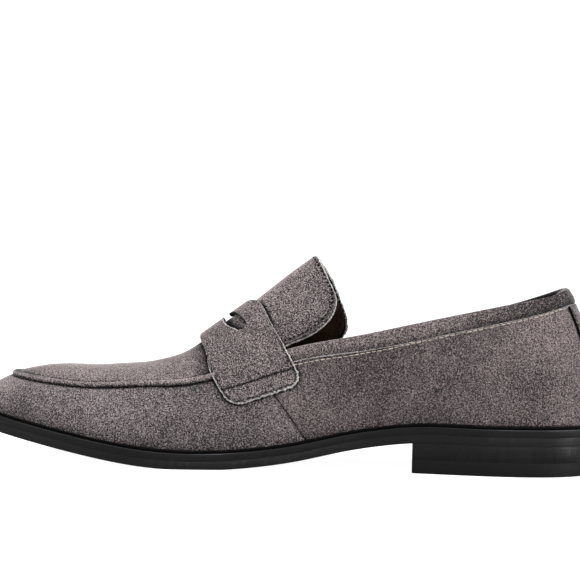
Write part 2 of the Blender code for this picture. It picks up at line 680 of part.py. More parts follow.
def main():
    for leftover in list(bpy.data.objects):
        bpy.data.objects.remove(leftover)
    collection = bpy.data.collections.new("penny_loafer")
    cutters = bpy.data.collections.new("penny_loafer_cutters")
    for group in (collection, cutters):
        bpy.context.scene.collection.children.link(group)
    root = bpy.data.objects.new("loafer_root", None)
    collection.objects.link(root)

    suede = make_material("taupe_suede", (0.16, 0.145, 0.14), 0.95)
    edge_suede = make_material("edge_suede", (0.19, 0.17, 0.165), 0.95)
    lining = make_material("brown_lining", (0.055, 0.035, 0.028), 0.8)
    rubber = make_material("black_rubber", (0.012, 0.012, 0.013), 0.45)
    top_rubber = make_material("black_top_rubber", (0.008, 0.008, 0.009), 0.6)

    where = (collection, root)
    parts = [
        build_outsole(rubber, *where),
        build_welt(rubber, *where),
        build_heel_piece("heel_block", under_seat, TOP_PIECE + GAP, (0.0, HEEL_TAPER), rubber, *where),
        build_heel_piece("heel_top_piece", top_piece_joint, 0.0, (HEEL_TAPER,) * 2, top_rubber, *where),
        build_insole(lining, *where),
        build_upper(suede, *where),
        build_tongue(suede, *where),
        build_strap(suede, *where, cutters),
        build_piping(edge_suede, *where),
        build_binding(edge_suede, *where),
        build_back_strip(suede, *where),
    ]
    stand_on_origin(root, parts)


main()
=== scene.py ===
"""Looks of a right-foot suede penny loafer: napped panels, seams, thread, lining and a black sole.

Sizes and tables are in millimetres, with stations counted forward from the back of the sole. A turn is
a place on the loop round the foot: 0 at the heel, ROWS at the toe, inner side first. The finished
meshes are in metres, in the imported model's frame.
"""

import logging
import math
from collections.abc import Callable, Sequence
from dataclasses import dataclass
from enum import Enum
from typing import NamedTuple

import bmesh
import bpy
import numpy as np
from mathutils import Matrix, Vector
from mathutils.kdtree import KDTree


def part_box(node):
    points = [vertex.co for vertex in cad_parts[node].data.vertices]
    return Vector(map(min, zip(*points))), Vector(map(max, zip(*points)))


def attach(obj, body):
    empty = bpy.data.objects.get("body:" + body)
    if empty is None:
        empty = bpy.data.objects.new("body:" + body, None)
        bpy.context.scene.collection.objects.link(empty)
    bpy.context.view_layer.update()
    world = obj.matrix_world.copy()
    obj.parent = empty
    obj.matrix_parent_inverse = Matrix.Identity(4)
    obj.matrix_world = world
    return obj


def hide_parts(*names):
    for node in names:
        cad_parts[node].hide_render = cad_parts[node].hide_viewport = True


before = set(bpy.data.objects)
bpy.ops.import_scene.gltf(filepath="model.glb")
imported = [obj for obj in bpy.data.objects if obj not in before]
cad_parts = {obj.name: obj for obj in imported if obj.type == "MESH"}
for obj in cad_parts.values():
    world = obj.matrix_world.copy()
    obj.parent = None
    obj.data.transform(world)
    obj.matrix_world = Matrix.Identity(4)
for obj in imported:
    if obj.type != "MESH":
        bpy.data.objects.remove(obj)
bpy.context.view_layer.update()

LOG = logging.getLogger("penny_loafer")
Array = np.ndarray
Mesh = bmesh.types.BMesh
Material = bpy.types.Material
Socket = bpy.types.NodeSocket
Colour = tuple[float, float, float]
Span = tuple[float, float]
Surface = Callable[[Array, Array], Array]
Height = Callable[[Array], Array]
Levels = Sequence[tuple[float, Height]]
MM = 0.001
WELD = 0.00002
UP = np.array([0.0, 0.0, 1.0])
SIDES = (-1.0, 1.0)
DOWN_WALL = (1.0, 0.4)
UP_CROWN = (0.0, 1.0)
SHARP = math.radians(50.0)


class Section(NamedTuple):
    """One section of the last; the outer side's top lies lower by top_drop."""

    edge_s: float
    edge_in: float
    edge_out: float
    top_s: float
    top_in: float
    top_out: float
    top_z: float
    top_drop: float
    low_out: float
    high_out: float
    high_drop: float


SECTIONS = tuple(Section(*row) for row in (
    (2.0, 0.0, 0.0, 15.0, 0.0, 0.0, 86.3, 0.0, 4.5, 11.5, 21.5),
    (5.0, 13.5, 13.5, 17.0, 9.5, 9.5, 85.9, 0.1, 4.3, 10.5, 20.5),
    (13.5, 23.5, 23.5, 23.0, 17.0, 17.0, 83.8, 0.4, 3.8, 8.0, 20.0),
    (29.0, 30.0, 30.2, 37.0, 23.0, 23.5, 80.0, 1.6, 3.2, 5.5, 19.0),
    (53.0, 31.5, 32.5, 58.0, 27.5, 28.0, 75.2, 3.2, 2.8, 4.0, 17.0),
    (82.0, 29.0, 33.5, 86.0, 30.8, 31.8, 68.8, 4.2, 3.2, 3.0, 15.0),
    (111.0, 28.0, 36.0, 114.0, 33.0, 34.5, 62.4, 4.2, 4.2, 2.5, 14.0),
    (141.0, 33.0, 41.5, 142.0, 35.0, 37.5, 56.4, 3.4, 4.5, 2.8, 13.0),
    (168.0, 41.0, 47.0, 168.0, 37.0, 39.5, 47.2, 1.8, 4.0, 3.5, 11.0),
    (192.0, 46.5, 50.0, 191.0, 37.2, 38.8, 40.4, 0.6, 3.2, 5.5, 7.0),
    (216.0, 47.5, 48.0, 214.0, 36.0, 36.0, 38.4, 0.0, 2.6, 6.5, 5.0),
    (241.0, 42.5, 41.0, 236.0, 32.2, 31.2, 36.6, 0.0, 2.4, 7.0, 4.0),
    (264.0, 34.0, 32.0, 256.5, 25.8, 24.6, 36.9, 0.0, 2.0, 7.8, 3.5),
    (283.0, 23.0, 21.5, 272.0, 17.4, 16.6, 38.0, 0.0, 1.6, 8.6, 3.2),
    (295.0, 12.0, 11.4, 280.5, 8.9, 8.5, 38.9, 0.0, 1.2, 9.4, 3.0),
    (299.5, 0.0, 0.0, 283.2, 0.0, 0.0, 39.2, 0.0, 1.0, 10.0, 3.0),
))
ROWS = len(SECTIONS) - 1
TURNS = 2 * ROWS


class Profile(NamedTuple):
    """Height of the sole's top above the floor at a station."""

    s: float
    z: float


SOLE_TOP = tuple(Profile(*row) for row in (
    (0.0, 22.2), (30.0, 22.2), (60.0, 22.2), (82.0, 22.0),
    (100.0, 19.9), (118.0, 16.6), (138.0, 12.0), (156.0, 9.2),
    (172.0, 7.8), (188.0, 7.4), (206.0, 8.1), (232.0, 11.2),
    (256.0, 15.1), (284.0, 19.8), (302.0, 22.8),
))


class Ridge(NamedTuple):
    """Ridge of the instep: the apron's middle, then the tongue's."""

    s: float
    y: float
    z: float


RIDGE = tuple(Ridge(*row) for row in (
    (118.0, -4.0, 113.5), (136.0, -4.0, 100.5), (150.0, -4.0, 90.0),
    (163.0, -3.5, 79.4), (178.0, -3.0, 68.2), (190.0, -2.5, 59.3),
    (198.0, -2.0, 53.6), (207.0, -1.5, 49.6), (217.0, -1.2, 46.9),
    (229.0, -0.8, 45.7), (242.0, -0.4, 44.7), (257.0, 0.0, 44.7),
    (267.0, 0.0, 43.9), (277.0, 0.0, 41.9),
))


class StrapEdge(NamedTuple):
    """Stations of the strap's two edges at a reach from the ridge (0) to the strap's end (1)."""

    reach: float
    front: float
    rear: float


SEAM_REACH = 0.75
STRAP_EDGES = (
    StrapEdge(0.0, 189.9, 168.7), StrapEdge(0.22, 188.6, 160.7), StrapEdge(0.45, 184.3, 154.4),
    StrapEdge(SEAM_REACH, 179.2, 144.2), StrapEdge(1.0, 170.5, 137.8),
)
SEAM_EDGE = STRAP_EDGES[3]


class Dent(NamedTuple):
    """A soft trough in the side wall between two places; a depth below zero is a ridge."""

    turn_a: float
    rise_a: float
    turn_b: float
    rise_b: float
    width: float
    depth: float


DENTS = tuple(Dent(*row) for row in (
    (9.3, 0.92, 8.5, 0.12, 7.0, 0.55),
    (10.4, 0.85, 9.7, 0.10, 6.0, 0.30),
    (13.5, 0.75, 12.8, 0.15, 6.0, 0.35),
    (6.3, 0.60, 4.3, 0.52, 13.0, 0.90),
    (3.3, 0.40, 2.8, 0.12, 7.0, 0.40),
    (2.5, 0.88, 3.5, 0.10, 4.5, -0.25),
))


class NapMark(NamedTuple):
    """A patch of the side wall where the nap lies darker, or lighter below zero."""

    turn: float
    rise: float
    radius: float
    amount: float


NAP_MARKS = tuple(NapMark(*row) for row in (
    (12.5, 0.52, 7.0, 0.15), (13.9, 0.60, 13.0, -0.30), (11.0, 0.60, 20.0, -0.07),
    (9.2, 0.40, 17.0, 0.14), (8.2, 0.25, 14.0, 0.08), (5.8, 0.55, 26.0, 0.18),
    (4.4, 0.45, 22.0, 0.12), (2.9, 0.30, 13.0, 0.22), (2.3, 0.80, 22.0, -0.09),
    (0.5, 0.55, 9.0, 0.22),
))


class Fair:
    """A smooth curve through the rows of a table, open or closed on itself."""

    def __init__(self, values: Sequence, stations: Sequence | None = None) -> None:
        """Solves the curve's bends.

        Args:
            values: one number or point for each row.
            stations: where the rows lie; without them the curve is closed, a unit apart.
        """
        values = np.asarray(values, float)
        count = len(values)
        self.closed = stations is None
        self.knots = np.arange(count + 1.0) if self.closed else np.asarray(stations, float)
        self.values = np.concatenate([values, values[:1]]) if self.closed else values
        steps = np.diff(self.knots)
        slopes = np.diff(self.values, axis=0) / steps.reshape(-1, *[1] * (values.ndim - 1))
        matrix = np.eye(count)
        right = np.zeros_like(values)
        for row in range(count):
            if not self.closed and row in (0, count - 1):
                continue
            before, after = steps[row - 1], steps[row]
            matrix[row, row] = 2.0 * (before + after)
            matrix[row, row - 1] = before
            matrix[row, (row + 1) % count] = after
            right[row] = 6.0 * (slopes[row] - slopes[row - 1])
        bend = np.linalg.solve(matrix, right)
        self.bend = np.concatenate([bend, bend[:1]]) if self.closed else bend

    def __call__(self, at: Array) -> Array:
        """Reads the curve.

        Args:
            at: places along it, of any shape.

        Returns:
            The values there, with the table's own axis last.
        """
        at = np.asarray(at, float)
        if self.closed:
            at = np.mod(at, self.knots[-1])
        low = np.clip(np.searchsorted(self.knots, at, side="right") - 1, 0, len(self.knots) - 2)
        step = self.knots[low + 1] - self.knots[low]
        a = (self.knots[low + 1] - at) / step
        shape = a.shape + (1,) * (self.values.ndim - 1)
        a = a.reshape(shape)
        step = step.reshape(shape)
        b = 1.0 - a
        line = a * self.values[low] + b * self.values[low + 1]
        sag = (a**3 - a) * self.bend[low] + (b**3 - b) * self.bend[low + 1]
        return line + sag * step**2 / 6.0


def unit(vectors: Array) -> Array:
    """Vectors of length 1 in the same directions."""
    return vectors / np.linalg.norm(vectors, axis=-1, keepdims=True)


def bezier(points: Sequence[Array], at: Array) -> Array:
    """Points of cubic curves.

    Args:
        points: the four control points of each curve.
        at: where on each curve, 0 to 1.

    Returns:
        One point a curve.
    """
    at = np.asarray(at, float)[..., None]
    rest = 1.0 - at
    near = rest**3 * points[0] + 3.0 * rest**2 * at * points[1]
    return near + 3.0 * rest * at**2 * points[2] + at**3 * points[3]


def fade(at: Array, low: float, high: float) -> Array:
    """Smooth step from 0 at low to 1 at high."""
    share = np.clip((at - low) / (high - low), 0.0, 1.0)
    return share * share * (3.0 - 2.0 * share)


def bell(at: Array, width: float) -> Array:
    """Soft bump: 1 at zero, and almost nothing at two widths from it."""
    return np.exp(-((at / width) ** 2))


def loop(end: float, count: int) -> Array:
    """Even steps from zero towards an end, and zero again, for a closed row."""
    return np.append(np.linspace(0.0, end, count, endpoint=False), 0.0)


def raised(base: Height, by: float) -> Height:
    """A height over the plan, lifted by some millimetres."""
    return lambda x: base(x) + by


def level(height: float) -> Height:
    """The same height all over the plan."""
    return lambda x: np.full_like(x, height)


@dataclass
class Last:
    """The foot form that every piece of leather lies on, as surface functions."""

    gap: float = 0.3
    low_rise: float = 0.38
    crown_run: float = 0.28
    crown_rise: float = 0.62
    ridge_run: float = 0.42
    instep_run: float = 0.35
    instep_rise: float = 0.33
    instep_ridge: float = 0.20
    instep_end: float = 190.0
    instep_fade: float = 34.0
    toe_gather: float = 7.5
    toe_gather_from: float = 200.0
    strap_end_front: float = 0.53
    strap_end_rear: float = 0.61
    outer_lag: float = 0.14
    outer_catch: Span = (0.2, 0.6)
    welt_reach_heel: float = 1.8
    welt_reach_fore: float = 2.6
    welt_fore_from: float = 180.0
    lookup_steps: int = 40
    line_steps: int = 41

    def __post_init__(self) -> None:
        """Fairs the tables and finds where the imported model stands."""
        inner, outer = SECTIONS, SECTIONS[-2:0:-1]
        self.edge = Fair([(-r.edge_s, -r.edge_in) for r in inner] + [(-r.edge_s, r.edge_out) for r in outer])
        self.top = Fair([(-r.top_s, -r.top_in, r.top_z) for r in inner]
                        + [(-r.top_s, r.top_out, r.top_z - r.top_drop) for r in outer])
        self.shape = Fair([(r.low_out, r.high_out, r.high_drop) for r in (*inner, *outer)])
        self.sole_line = Fair([row.z for row in SOLE_TOP], [row.s for row in SOLE_TOP])
        self.ridge_line = Fair([(row.y, row.z) for row in RIDGE], [row.s for row in RIDGE])
        self.strap_lines = Fair([(r.front, r.rear) for r in STRAP_EDGES], [r.reach for r in STRAP_EDGES])
        self.half_turns = np.linspace(0.0, ROWS, self.lookup_steps * ROWS + 1)
        self.top_stations = -self.top(self.half_turns)[:, 0]
        outline = self.sole_outline(np.arange(0.0, TURNS, 0.5), 0.0)
        low = np.array(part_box("outsole")[0]) / MM
        self.shift = np.array([*(low[:2] - outline.min(axis=0)), 0.0])

    def to_frame(self, points: Array) -> Array:
        """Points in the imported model's frame, in metres."""
        return (points + self.shift) * MM

    def turn_at(self, station: Array) -> Array:
        """Place on the inner side of the loop where the top line passes a station."""
        return np.interp(station, self.top_stations, self.half_turns)

    def outward(self, turn: Array, step: float = 0.01) -> Array:
        """Level unit vectors that point out of the foot."""
        run = self.edge(turn + step) - self.edge(turn - step)
        return unit(np.stack([-run[..., 1], run[..., 0], np.zeros_like(run[..., 0])], -1))

    def sole_top(self, x: Array) -> Array:
        """Height of the sole's top at an x of the part's own tables."""
        return self.sole_line(-np.asarray(x, float))

    def foot(self, turn: Array, inset: Array) -> Array:
        """Points on the feather line, drawn in under the foot by an inset."""
        plan = self.edge(turn) - self.outward(turn)[..., :2] * np.asarray(inset)[..., None]
        return np.concatenate([plan, (self.sole_top(plan[..., 0]) + self.gap)[..., None]], -1)

    def sole_outline(self, turn: Array, inset: float) -> Array:
        """Plan of the sole's edge.

        Args:
            turn: places on the loop.
            inset: how far the edge is drawn in.

        Returns:
            Points of the plan.
        """
        plan = self.edge(turn)
        fore = np.clip(-plan[..., 0] / self.welt_fore_from, 0.0, 1.0)[..., None]
        reach = self.welt_reach_heel + (self.welt_reach_fore - self.welt_reach_heel) * fore
        return plan + self.outward(turn)[..., :2] * (reach - inset)

    def wall(self, turn: Array, rise: Array) -> Array:
        """Outer face of the upper's side.

        Args:
            turn: places on the loop.
            rise: 0 at the sole, 1 at the collar or apron seam.

        Returns:
            Points of the surface.
        """
        foot = self.foot(turn, np.zeros_like(turn))
        top = self.top(turn)
        low_out, high_out, high_drop = np.moveaxis(self.shape(turn), -1, 0)[..., None]
        out = self.outward(turn)
        low = foot + out * low_out + UP * self.low_rise * (top - foot)[..., 2:]
        high = top + out * high_out - UP * high_drop
        return bezier((foot, low, high, top), rise)

    def crown(self, turn: Array, climb: Array) -> Array:
        """Outer face of the apron and of its run under the strap.

        Args:
            turn: places on the loop.
            climb: 0 at the seam, 1 at the ridge.

        Returns:
            Points of the surface.
        """
        top = self.top(turn)
        station = -top[..., 0]
        toe = SECTIONS[-1].top_s
        ahead = np.clip((station - self.toe_gather_from) / (toe - self.toe_gather_from), 0.0, 1.0)
        fore = fade(station, self.instep_end, self.instep_end + self.instep_fade)[..., None]
        run = self.instep_run + (self.crown_run - self.instep_run) * fore
        rise = self.instep_rise + (self.crown_rise - self.instep_rise) * fore
        ridge_run = self.instep_ridge + (self.ridge_run - self.instep_ridge) * fore
        station = station - self.toe_gather * ahead**2
        ridge = np.concatenate([-station[..., None], self.ridge_line(station)], -1)
        fall = (self.ridge_line(station - 0.5) - self.ridge_line(station + 0.5))[..., 1]
        across = (ridge - top) * np.array([1.0, 1.0, 0.0])
        start = top + run * across
        start[..., 2] += rise[..., 0] * (ridge - top)[..., 2]
        end = ridge - ridge_run * across
        end[..., 2] -= ridge_run[..., 0] * across[..., 0] * fall
        return bezier((top, start, end, ridge), climb)

    def saddle(self, front_to_rear: Array, reach: Array) -> Array:
        """The face that the strap lies on.

        Args:
            front_to_rear: 0 at the strap's front edge, 1 at its rear edge.
            reach: -1 at its inner end, 0 at the ridge, 1 at its outer end.

        Returns:
            Points of the surface.
        """
        far = np.abs(reach)
        lag = self.outer_lag * fade(far, 0.0, self.outer_lag) * (1.0 - fade(far, *self.outer_catch))
        edges = self.strap_lines(np.where(reach > 0, np.maximum(far - lag, 0.0), far))
        station = edges[..., 0] + (edges[..., 1] - edges[..., 0]) * front_to_rear
        inner = self.turn_at(station)
        turn = np.where(reach < 0, inner, TURNS - inner)
        climb = np.clip(1.0 - far / SEAM_REACH, 0.0, 1.0)
        end = self.strap_end_front + (self.strap_end_rear - self.strap_end_front) * front_to_rear
        rise = 1.0 - np.clip((far - SEAM_REACH) / (1.0 - SEAM_REACH), 0.0, None) * (1.0 - end)
        return np.where((far < SEAM_REACH)[..., None], self.crown(turn, climb), self.wall(turn, rise))

    def facing(self, surface: Surface, turn: Array, along: Array, reach: float = 0.02) -> Array:
        """The way out of the shoe on the wall or the crown.

        Args:
            surface: the wall or the crown.
            turn: places on the loop.
            along: the surface's second coordinate.
            reach: how far to each side the slope is taken.

        Returns:
            Unit normals.
        """
        run = surface(turn + reach, along) - surface(turn - reach, along)
        climb = surface(turn, along + reach) - surface(turn, along - reach)
        return unit(np.cross(climb, run))

    def saddle_facing(self, front_to_rear: Array, reach: Array, step: float = 0.06) -> Array:
        """The way out of the shoe on the saddle.

        Args:
            front_to_rear: 0 at the strap's front edge, 1 at its rear edge.
            reach: -1 at its inner end, 0 at the ridge, 1 at its outer end.
            step: how far to each side the slope is taken.

        Returns:
            Unit normals.
        """
        run = self.saddle(front_to_rear + step, reach) - self.saddle(front_to_rear - step, reach)
        climb = self.saddle(front_to_rear, reach + step) - self.saddle(front_to_rear, reach - step)
        return unit(np.cross(run, climb))

    def along(self, surface: Surface, turn: Array, ends: Span, distance: Array) -> Array:
        """Place on each line of a surface at a distance from the line's start.

        Args:
            surface: the wall or the crown.
            turn: one place on the loop for each line.
            ends: the second coordinate where the lines start and end.
            distance: how far along each line.

        Returns:
            The second coordinate there.
        """
        steps = np.linspace(*ends, self.line_steps)
        spread = [surface(turn, np.full_like(turn, step)) for step in steps]
        run = np.cumsum(np.linalg.norm(np.diff(spread, axis=0), axis=-1), axis=0)
        run = np.concatenate([np.zeros((1, len(turn))), run])
        distance = np.broadcast_to(distance, turn.shape)
        return np.array([np.interp(d, run[:, i], steps) for i, d in enumerate(distance)])


LAST = Last()


def new_mesh() -> Mesh:
    """Starts a mesh with a number for each vertex: nap marks and painted shade on the leather, painted
    highlight on the sole.

    Returns:
        The empty mesh.
    """
    mesh = bmesh.new()
    mesh.verts.layers.float.new("shade")
    return mesh


def add_sheet(mesh: Mesh, points: Array, shade: Array | None = None, flip: bool = False) -> None:
    """Adds a grid whose points are moved onto a surface, and welds it where its edges meet.

    Args:
        mesh: the mesh to add to.
        points: rows and columns of points, in millimetres.
        shade: at each point, nap marks and painted shade on the leather, or painted highlight on the sole.
        flip: turns the faces round.
    """
    rows, columns = points.shape[:2]
    made = bmesh.ops.create_grid(mesh, x_segments=columns - 1, y_segments=rows - 1, size=0.5)
    dark = mesh.verts.layers.float["shade"]
    places = LAST.to_frame(points)
    for vert in made["verts"]:
        column = round((vert.co.x + 0.5) * (columns - 1))
        row = round((vert.co.y + 0.5) * (rows - 1))
        vert.co = places[row, column]
        if shade is not None:
            vert[dark] = shade[row, column]
    if flip:
        faces = {face for vert in made["verts"] for face in vert.link_faces}
        bmesh.ops.reverse_faces(mesh, faces=list(faces))
    bmesh.ops.remove_doubles(mesh, verts=mesh.verts, dist=WELD)


def sheet_mesh(points: Array, shade: Array | None = None, flip: bool = False) -> Mesh:
    """Makes a mesh of one sheet.

    Args:
        points: rows and columns of points, in millimetres.
        shade: at each point, nap marks and painted shade on the leather, or painted highlight on the sole.
        flip: turns the faces round.

    Returns:
        The mesh.
    """
    mesh = new_mesh()
    add_sheet(mesh, points, shade, flip)
    return mesh


def close_ends(mesh: Mesh) -> None:
    """Closes the open ends of a tube."""
    bmesh.ops.holes_fill(mesh, edges=[edge for edge in mesh.edges if edge.is_boundary], sides=0)


class Slot(Enum):
    """Material slots of the record."""

    SUEDE = "suede"
    EDGE = "edge_suede"
    LINING = "lining"
    SOLE = "sole_rubber"
    TOP_PIECE = "top_piece_rubber"


def make_piece(
    name: str,
    mesh: Mesh,
    finishes: Sequence[Material],
    nodes: Sequence[str] = (),
) -> bpy.types.Object:
    """Makes a mesh a piece of the shoe.

    Args:
        name: the piece's name.
        mesh: its shape, which is freed.
        finishes: its materials, the face's own first.
        nodes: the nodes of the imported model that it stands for.

    Returns:
        The new object.
    """
    data = bpy.data.meshes.new(name)
    mesh.to_mesh(data)
    mesh.free()
    data.shade_smooth()
    for finish in finishes:
        data.materials.append(finish)
    piece = bpy.data.objects.new(name, data)
    bpy.context.scene.collection.objects.link(piece)
    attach(piece, "root")
    if nodes:
        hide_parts(*nodes)
    LOG.info("%s: %d faces", name, len(data.polygons))
    return piece


def thicken(piece: bpy.types.Object, thickness: float, inside: int = 0, rim: int = 0) -> None:
    """Gives a sheet its thickness, inwards from its face.

    Args:
        piece: the sheet.
        thickness: in millimetres.
        inside: how many materials further on the inner face has its own.
        rim: the same for the cut edge.
    """
    wall = piece.modifiers.new("Thickness", "SOLIDIFY")
    wall.thickness = thickness * MM
    wall.offset = -1.0
    wall.use_even_offset = True
    wall.use_quality_normals = True
    wall.material_offset = inside
    wall.material_offset_rim = rim


def round_edges(piece: bpy.types.Object, width: float, segments: int = 2, finish: int = -1) -> None:
    """Rounds a piece's sharp edges.

    Args:
        piece: the piece.
        width: of the bevel, in millimetres.
        segments: steps in the round.
        finish: which of its materials the round has, or its own.
    """
    bevel = piece.modifiers.new("Round", "BEVEL")
    bevel.width = width * MM
    bevel.segments = segments
    bevel.limit_method = "ANGLE"
    bevel.angle_limit = SHARP
    bevel.material = finish


class Brush:
    """A material's node tree, with short calls for the nodes that the finishes share."""

    def __init__(self, name: str) -> None:
        """Starts a material with a Principled shader.

        Args:
            name: of the material.
        """
        self.material = bpy.data.materials.new(name)
        self.material.use_nodes = True
        self.tree = self.material.node_tree
        self.shader = self.tree.nodes["Principled BSDF"]
        self.place = self.add("TexCoord").outputs["Object"]

    def add(self, kind: str, **inputs: Socket | float | Colour) -> bpy.types.Node:
        """Adds a node to the tree.

        Args:
            kind: its type, without the beginning that all types share.
            inputs: what its inputs are linked or set to, by name.

        Returns:
            The node.
        """
        node = self.tree.nodes.new("ShaderNode" + kind)
        for name, value in inputs.items():
            if isinstance(value, Socket):
                self.tree.links.new(value, node.inputs[name])
            else:
                node.inputs[name].default_value = value
        return node

    def set(self, **sockets: float | Colour) -> None:
        """Sets constants on the shader's own sockets.

        Args:
            sockets: values by the socket's name, with _ for a space.
        """
        for name, value in sockets.items():
            socket = self.shader.inputs[name.replace("_", " ")]
            socket.default_value = (*value, 1.0) if socket.type == "RGBA" else value

    def join(self, output: Socket, name: str) -> None:
        """Links an output to a socket of the shader."""
        self.tree.links.new(output, self.shader.inputs[name])

    def stretched(self, scale: Colour) -> Socket:
        """Object coordinates, stretched along each axis."""
        return self.add("Mapping", Vector=self.place, Scale=scale).outputs["Vector"]

    def noise(self, scale: float, detail: float = 2.0, rough: float = 0.5, warp: float = 0.0,
              place: Socket | None = None) -> Socket:
        """Soft random spots.

        Args:
            scale: spots in a metre.
            detail: finer layers.
            rough: strength of the finer layers.
            warp: how much the spots are drawn out of shape.
            place: coordinates, or the object's own.

        Returns:
            A socket with numbers round 0.5.
        """
        node = self.add("TexNoise", Vector=place or self.place, Scale=scale, Detail=detail,
                        Roughness=rough, Distortion=warp)
        return node.outputs["Fac"]

    def cells(self, scale: float, fray: float, fineness: float = 2.2, soft: float = 0.2
              ) -> Socket:
        """Random numbers from 0 to 1, one for each small tuft.

        Args:
            scale: tufts in a metre.
            fray: how far their outlines are torn, in millimetres.
            fineness: how much finer than the tufts the tears are.
            soft: how far the tufts run into each other.

        Returns:
            A socket with the numbers.
        """
        torn = self.add("TexNoise", Vector=self.place, Scale=fineness * scale)
        moved = self.add("VectorMath")
        moved.operation = "MULTIPLY_ADD"
        moved.inputs[1].default_value = (fray * MM,) * 3
        self.tree.links.new(torn.outputs["Color"], moved.inputs[0])
        self.tree.links.new(self.place, moved.inputs[2])
        node = self.add("TexVoronoi", Vector=moved.outputs["Vector"], Scale=scale)
        node.feature = "SMOOTH_F1"
        node.inputs["Smoothness"].default_value = soft
        return self.add("SeparateColor", Color=node.outputs["Color"]).outputs["Red"]

    def own(self, name: str) -> Socket:
        """A number that the mesh carries on its vertices.

        Args:
            name: of the mesh's layer.

        Returns:
            A socket with the number.
        """
        node = self.add("Attribute")
        node.attribute_name = name
        return node.outputs["Fac"]

    def sum(self, value: Socket, share: float, rest: Socket | float
            ) -> Socket:
        """Adds a share of one number to another.

        Args:
            value: the number that is shared.
            share: its factor.
            rest: what it is added to.

        Returns:
            A socket with the sum.
        """
        node = self.add("Math")
        node.operation = "MULTIPLY_ADD"
        node.inputs[1].default_value = share
        self.tree.links.new(value, node.inputs[0])
        if isinstance(rest, float):
            node.inputs[2].default_value = rest
        else:
            self.tree.links.new(rest, node.inputs[2])
        return node.outputs["Value"]

    def ramp(self, value: Socket, stops: Sequence[tuple[float, Colour]]
             ) -> Socket:
        """Colours along a number.

        Args:
            value: the number.
            stops: places from 0 to 1 with their colours.

        Returns:
            A socket with the colour.
        """
        node = self.add("ValToRGB", Fac=value)
        marks = node.color_ramp.elements
        while len(marks) < len(stops):
            marks.new(1.0)
        for mark, (at, colour) in zip(marks, stops):
            mark.position = at
            mark.color = (*colour, 1.0)
        return node.outputs["Color"]

    def bump(self, height: Socket, strength: float, depth: float) -> None:
        """Raises the surface.

        Args:
            height: a number from 0 to 1.
            strength: how much of the relief shows.
            depth: the relief in millimetres where the number is 1.
        """
        node = self.add("Bump", Height=height, Strength=strength, Distance=depth * MM)
        self.join(node.outputs["Normal"], "Normal")


def scaled(colour: Colour, by: float) -> Colour:
    """A lighter or darker colour."""
    return tuple(channel * by for channel in colour)


@dataclass(frozen=True)
class Suede:
    """Napped leather: fibre speckle, mottling, brush marks, and darker marks from the mesh. These are nap
    marks and painted shade and shadow, and lighter below zero as painted highlight.

    Speckle, clump, mottle and sweep are counts in a metre, and each share says how much of the tone it makes.
    """

    name: str
    pile: Colour
    smoke: Colour = (0.026, 0.025, 0.028)
    hollow: Colour = (0.003, 0.003, 0.003)
    contrast: float = 0.76
    tip_contrast: float = 2.4
    speckle: float = 3300.0
    speckle_share: float = 0.42
    fray: float = 0.8
    clump: float = 1700.0
    clump_share: float = 1.45
    mottle: float = 85.0
    mottle_share: float = 0.13
    sweep: float = 26.0
    sweep_share: float = 0.10
    sweep_warp: float = 0.8
    shade_share: float = 0.42
    level: float = -0.56
    sheen: float = 0.8
    sheen_tint: Colour = (0.95, 0.9, 0.88)
    relief: float = 0.8
    depth: float = 0.35

    def make(self) -> Material:
        """Makes the material.

        Returns:
            The material.
        """
        brush = Brush(self.name)
        clumps = brush.noise(self.clump, detail=1.5, rough=0.6)
        tone = brush.sum(clumps, self.clump_share, self.level)
        tone = brush.sum(brush.cells(self.speckle, self.fray), self.speckle_share, tone)
        tone = brush.sum(brush.noise(self.mottle), self.mottle_share, tone)
        tone = brush.sum(brush.noise(self.sweep, detail=1.5, warp=self.sweep_warp), self.sweep_share, tone)
        # The mesh's number darkens the tone for nap marks and for painted shade and shadow, and lightens it
        # below zero for painted highlight.
        tone = brush.sum(brush.own("shade"), -self.shade_share, tone)
        dark, light = scaled(self.pile, 1.0 - self.contrast), scaled(self.pile, 1.0 + self.contrast)
        tips = scaled(self.pile, 1.0 + self.tip_contrast * self.contrast)
        # The darkest stops, smoke and hollow, are where painted shadow lines and deep painted shade land.
        stops = ((0.0, self.hollow), (0.16, self.smoke), (0.38, dark), (0.5, self.pile), (0.62, light),
                 (0.77, tips))
        brush.join(brush.ramp(tone, stops), "Base Color")
        brush.set(Roughness=0.95, Specular_IOR_Level=0.1, Sheen_Weight=self.sheen, Sheen_Roughness=0.2,
                  Sheen_Tint=self.sheen_tint)
        brush.bump(clumps, self.relief, self.depth)
        return brush.material


@dataclass(frozen=True)
class Hide:
    """Smooth or cut leather: a colour with grain and soft clouds, both counted in a metre."""

    name: str
    colour: Colour
    grain: float = 1400.0
    cloud: float = 60.0
    cloud_share: float = 0.4
    roughness: float = 0.7
    relief: float = 0.5
    depth: float = 0.15
    gloss: float = 0.3
    contrast: float = 0.6
    light_contrast: float = 1.4

    def make(self) -> Material:
        """Makes the material.

        Returns:
            The material.
        """
        brush = Brush(self.name)
        grain = brush.noise(self.grain, rough=0.6)
        centred = brush.sum(grain, 1.0, -0.5 * self.cloud_share)
        tone = brush.sum(brush.noise(self.cloud), self.cloud_share, centred)
        dark = scaled(self.colour, 1.0 - self.contrast)
        light = scaled(self.colour, 1.0 + self.light_contrast * self.contrast)
        brush.join(brush.ramp(tone, ((0.25, dark), (0.5, self.colour), (0.8, light))), "Base Color")
        brush.set(Roughness=self.roughness, Specular_IOR_Level=self.gloss)
        brush.bump(grain, self.relief, self.depth)
        return brush.material


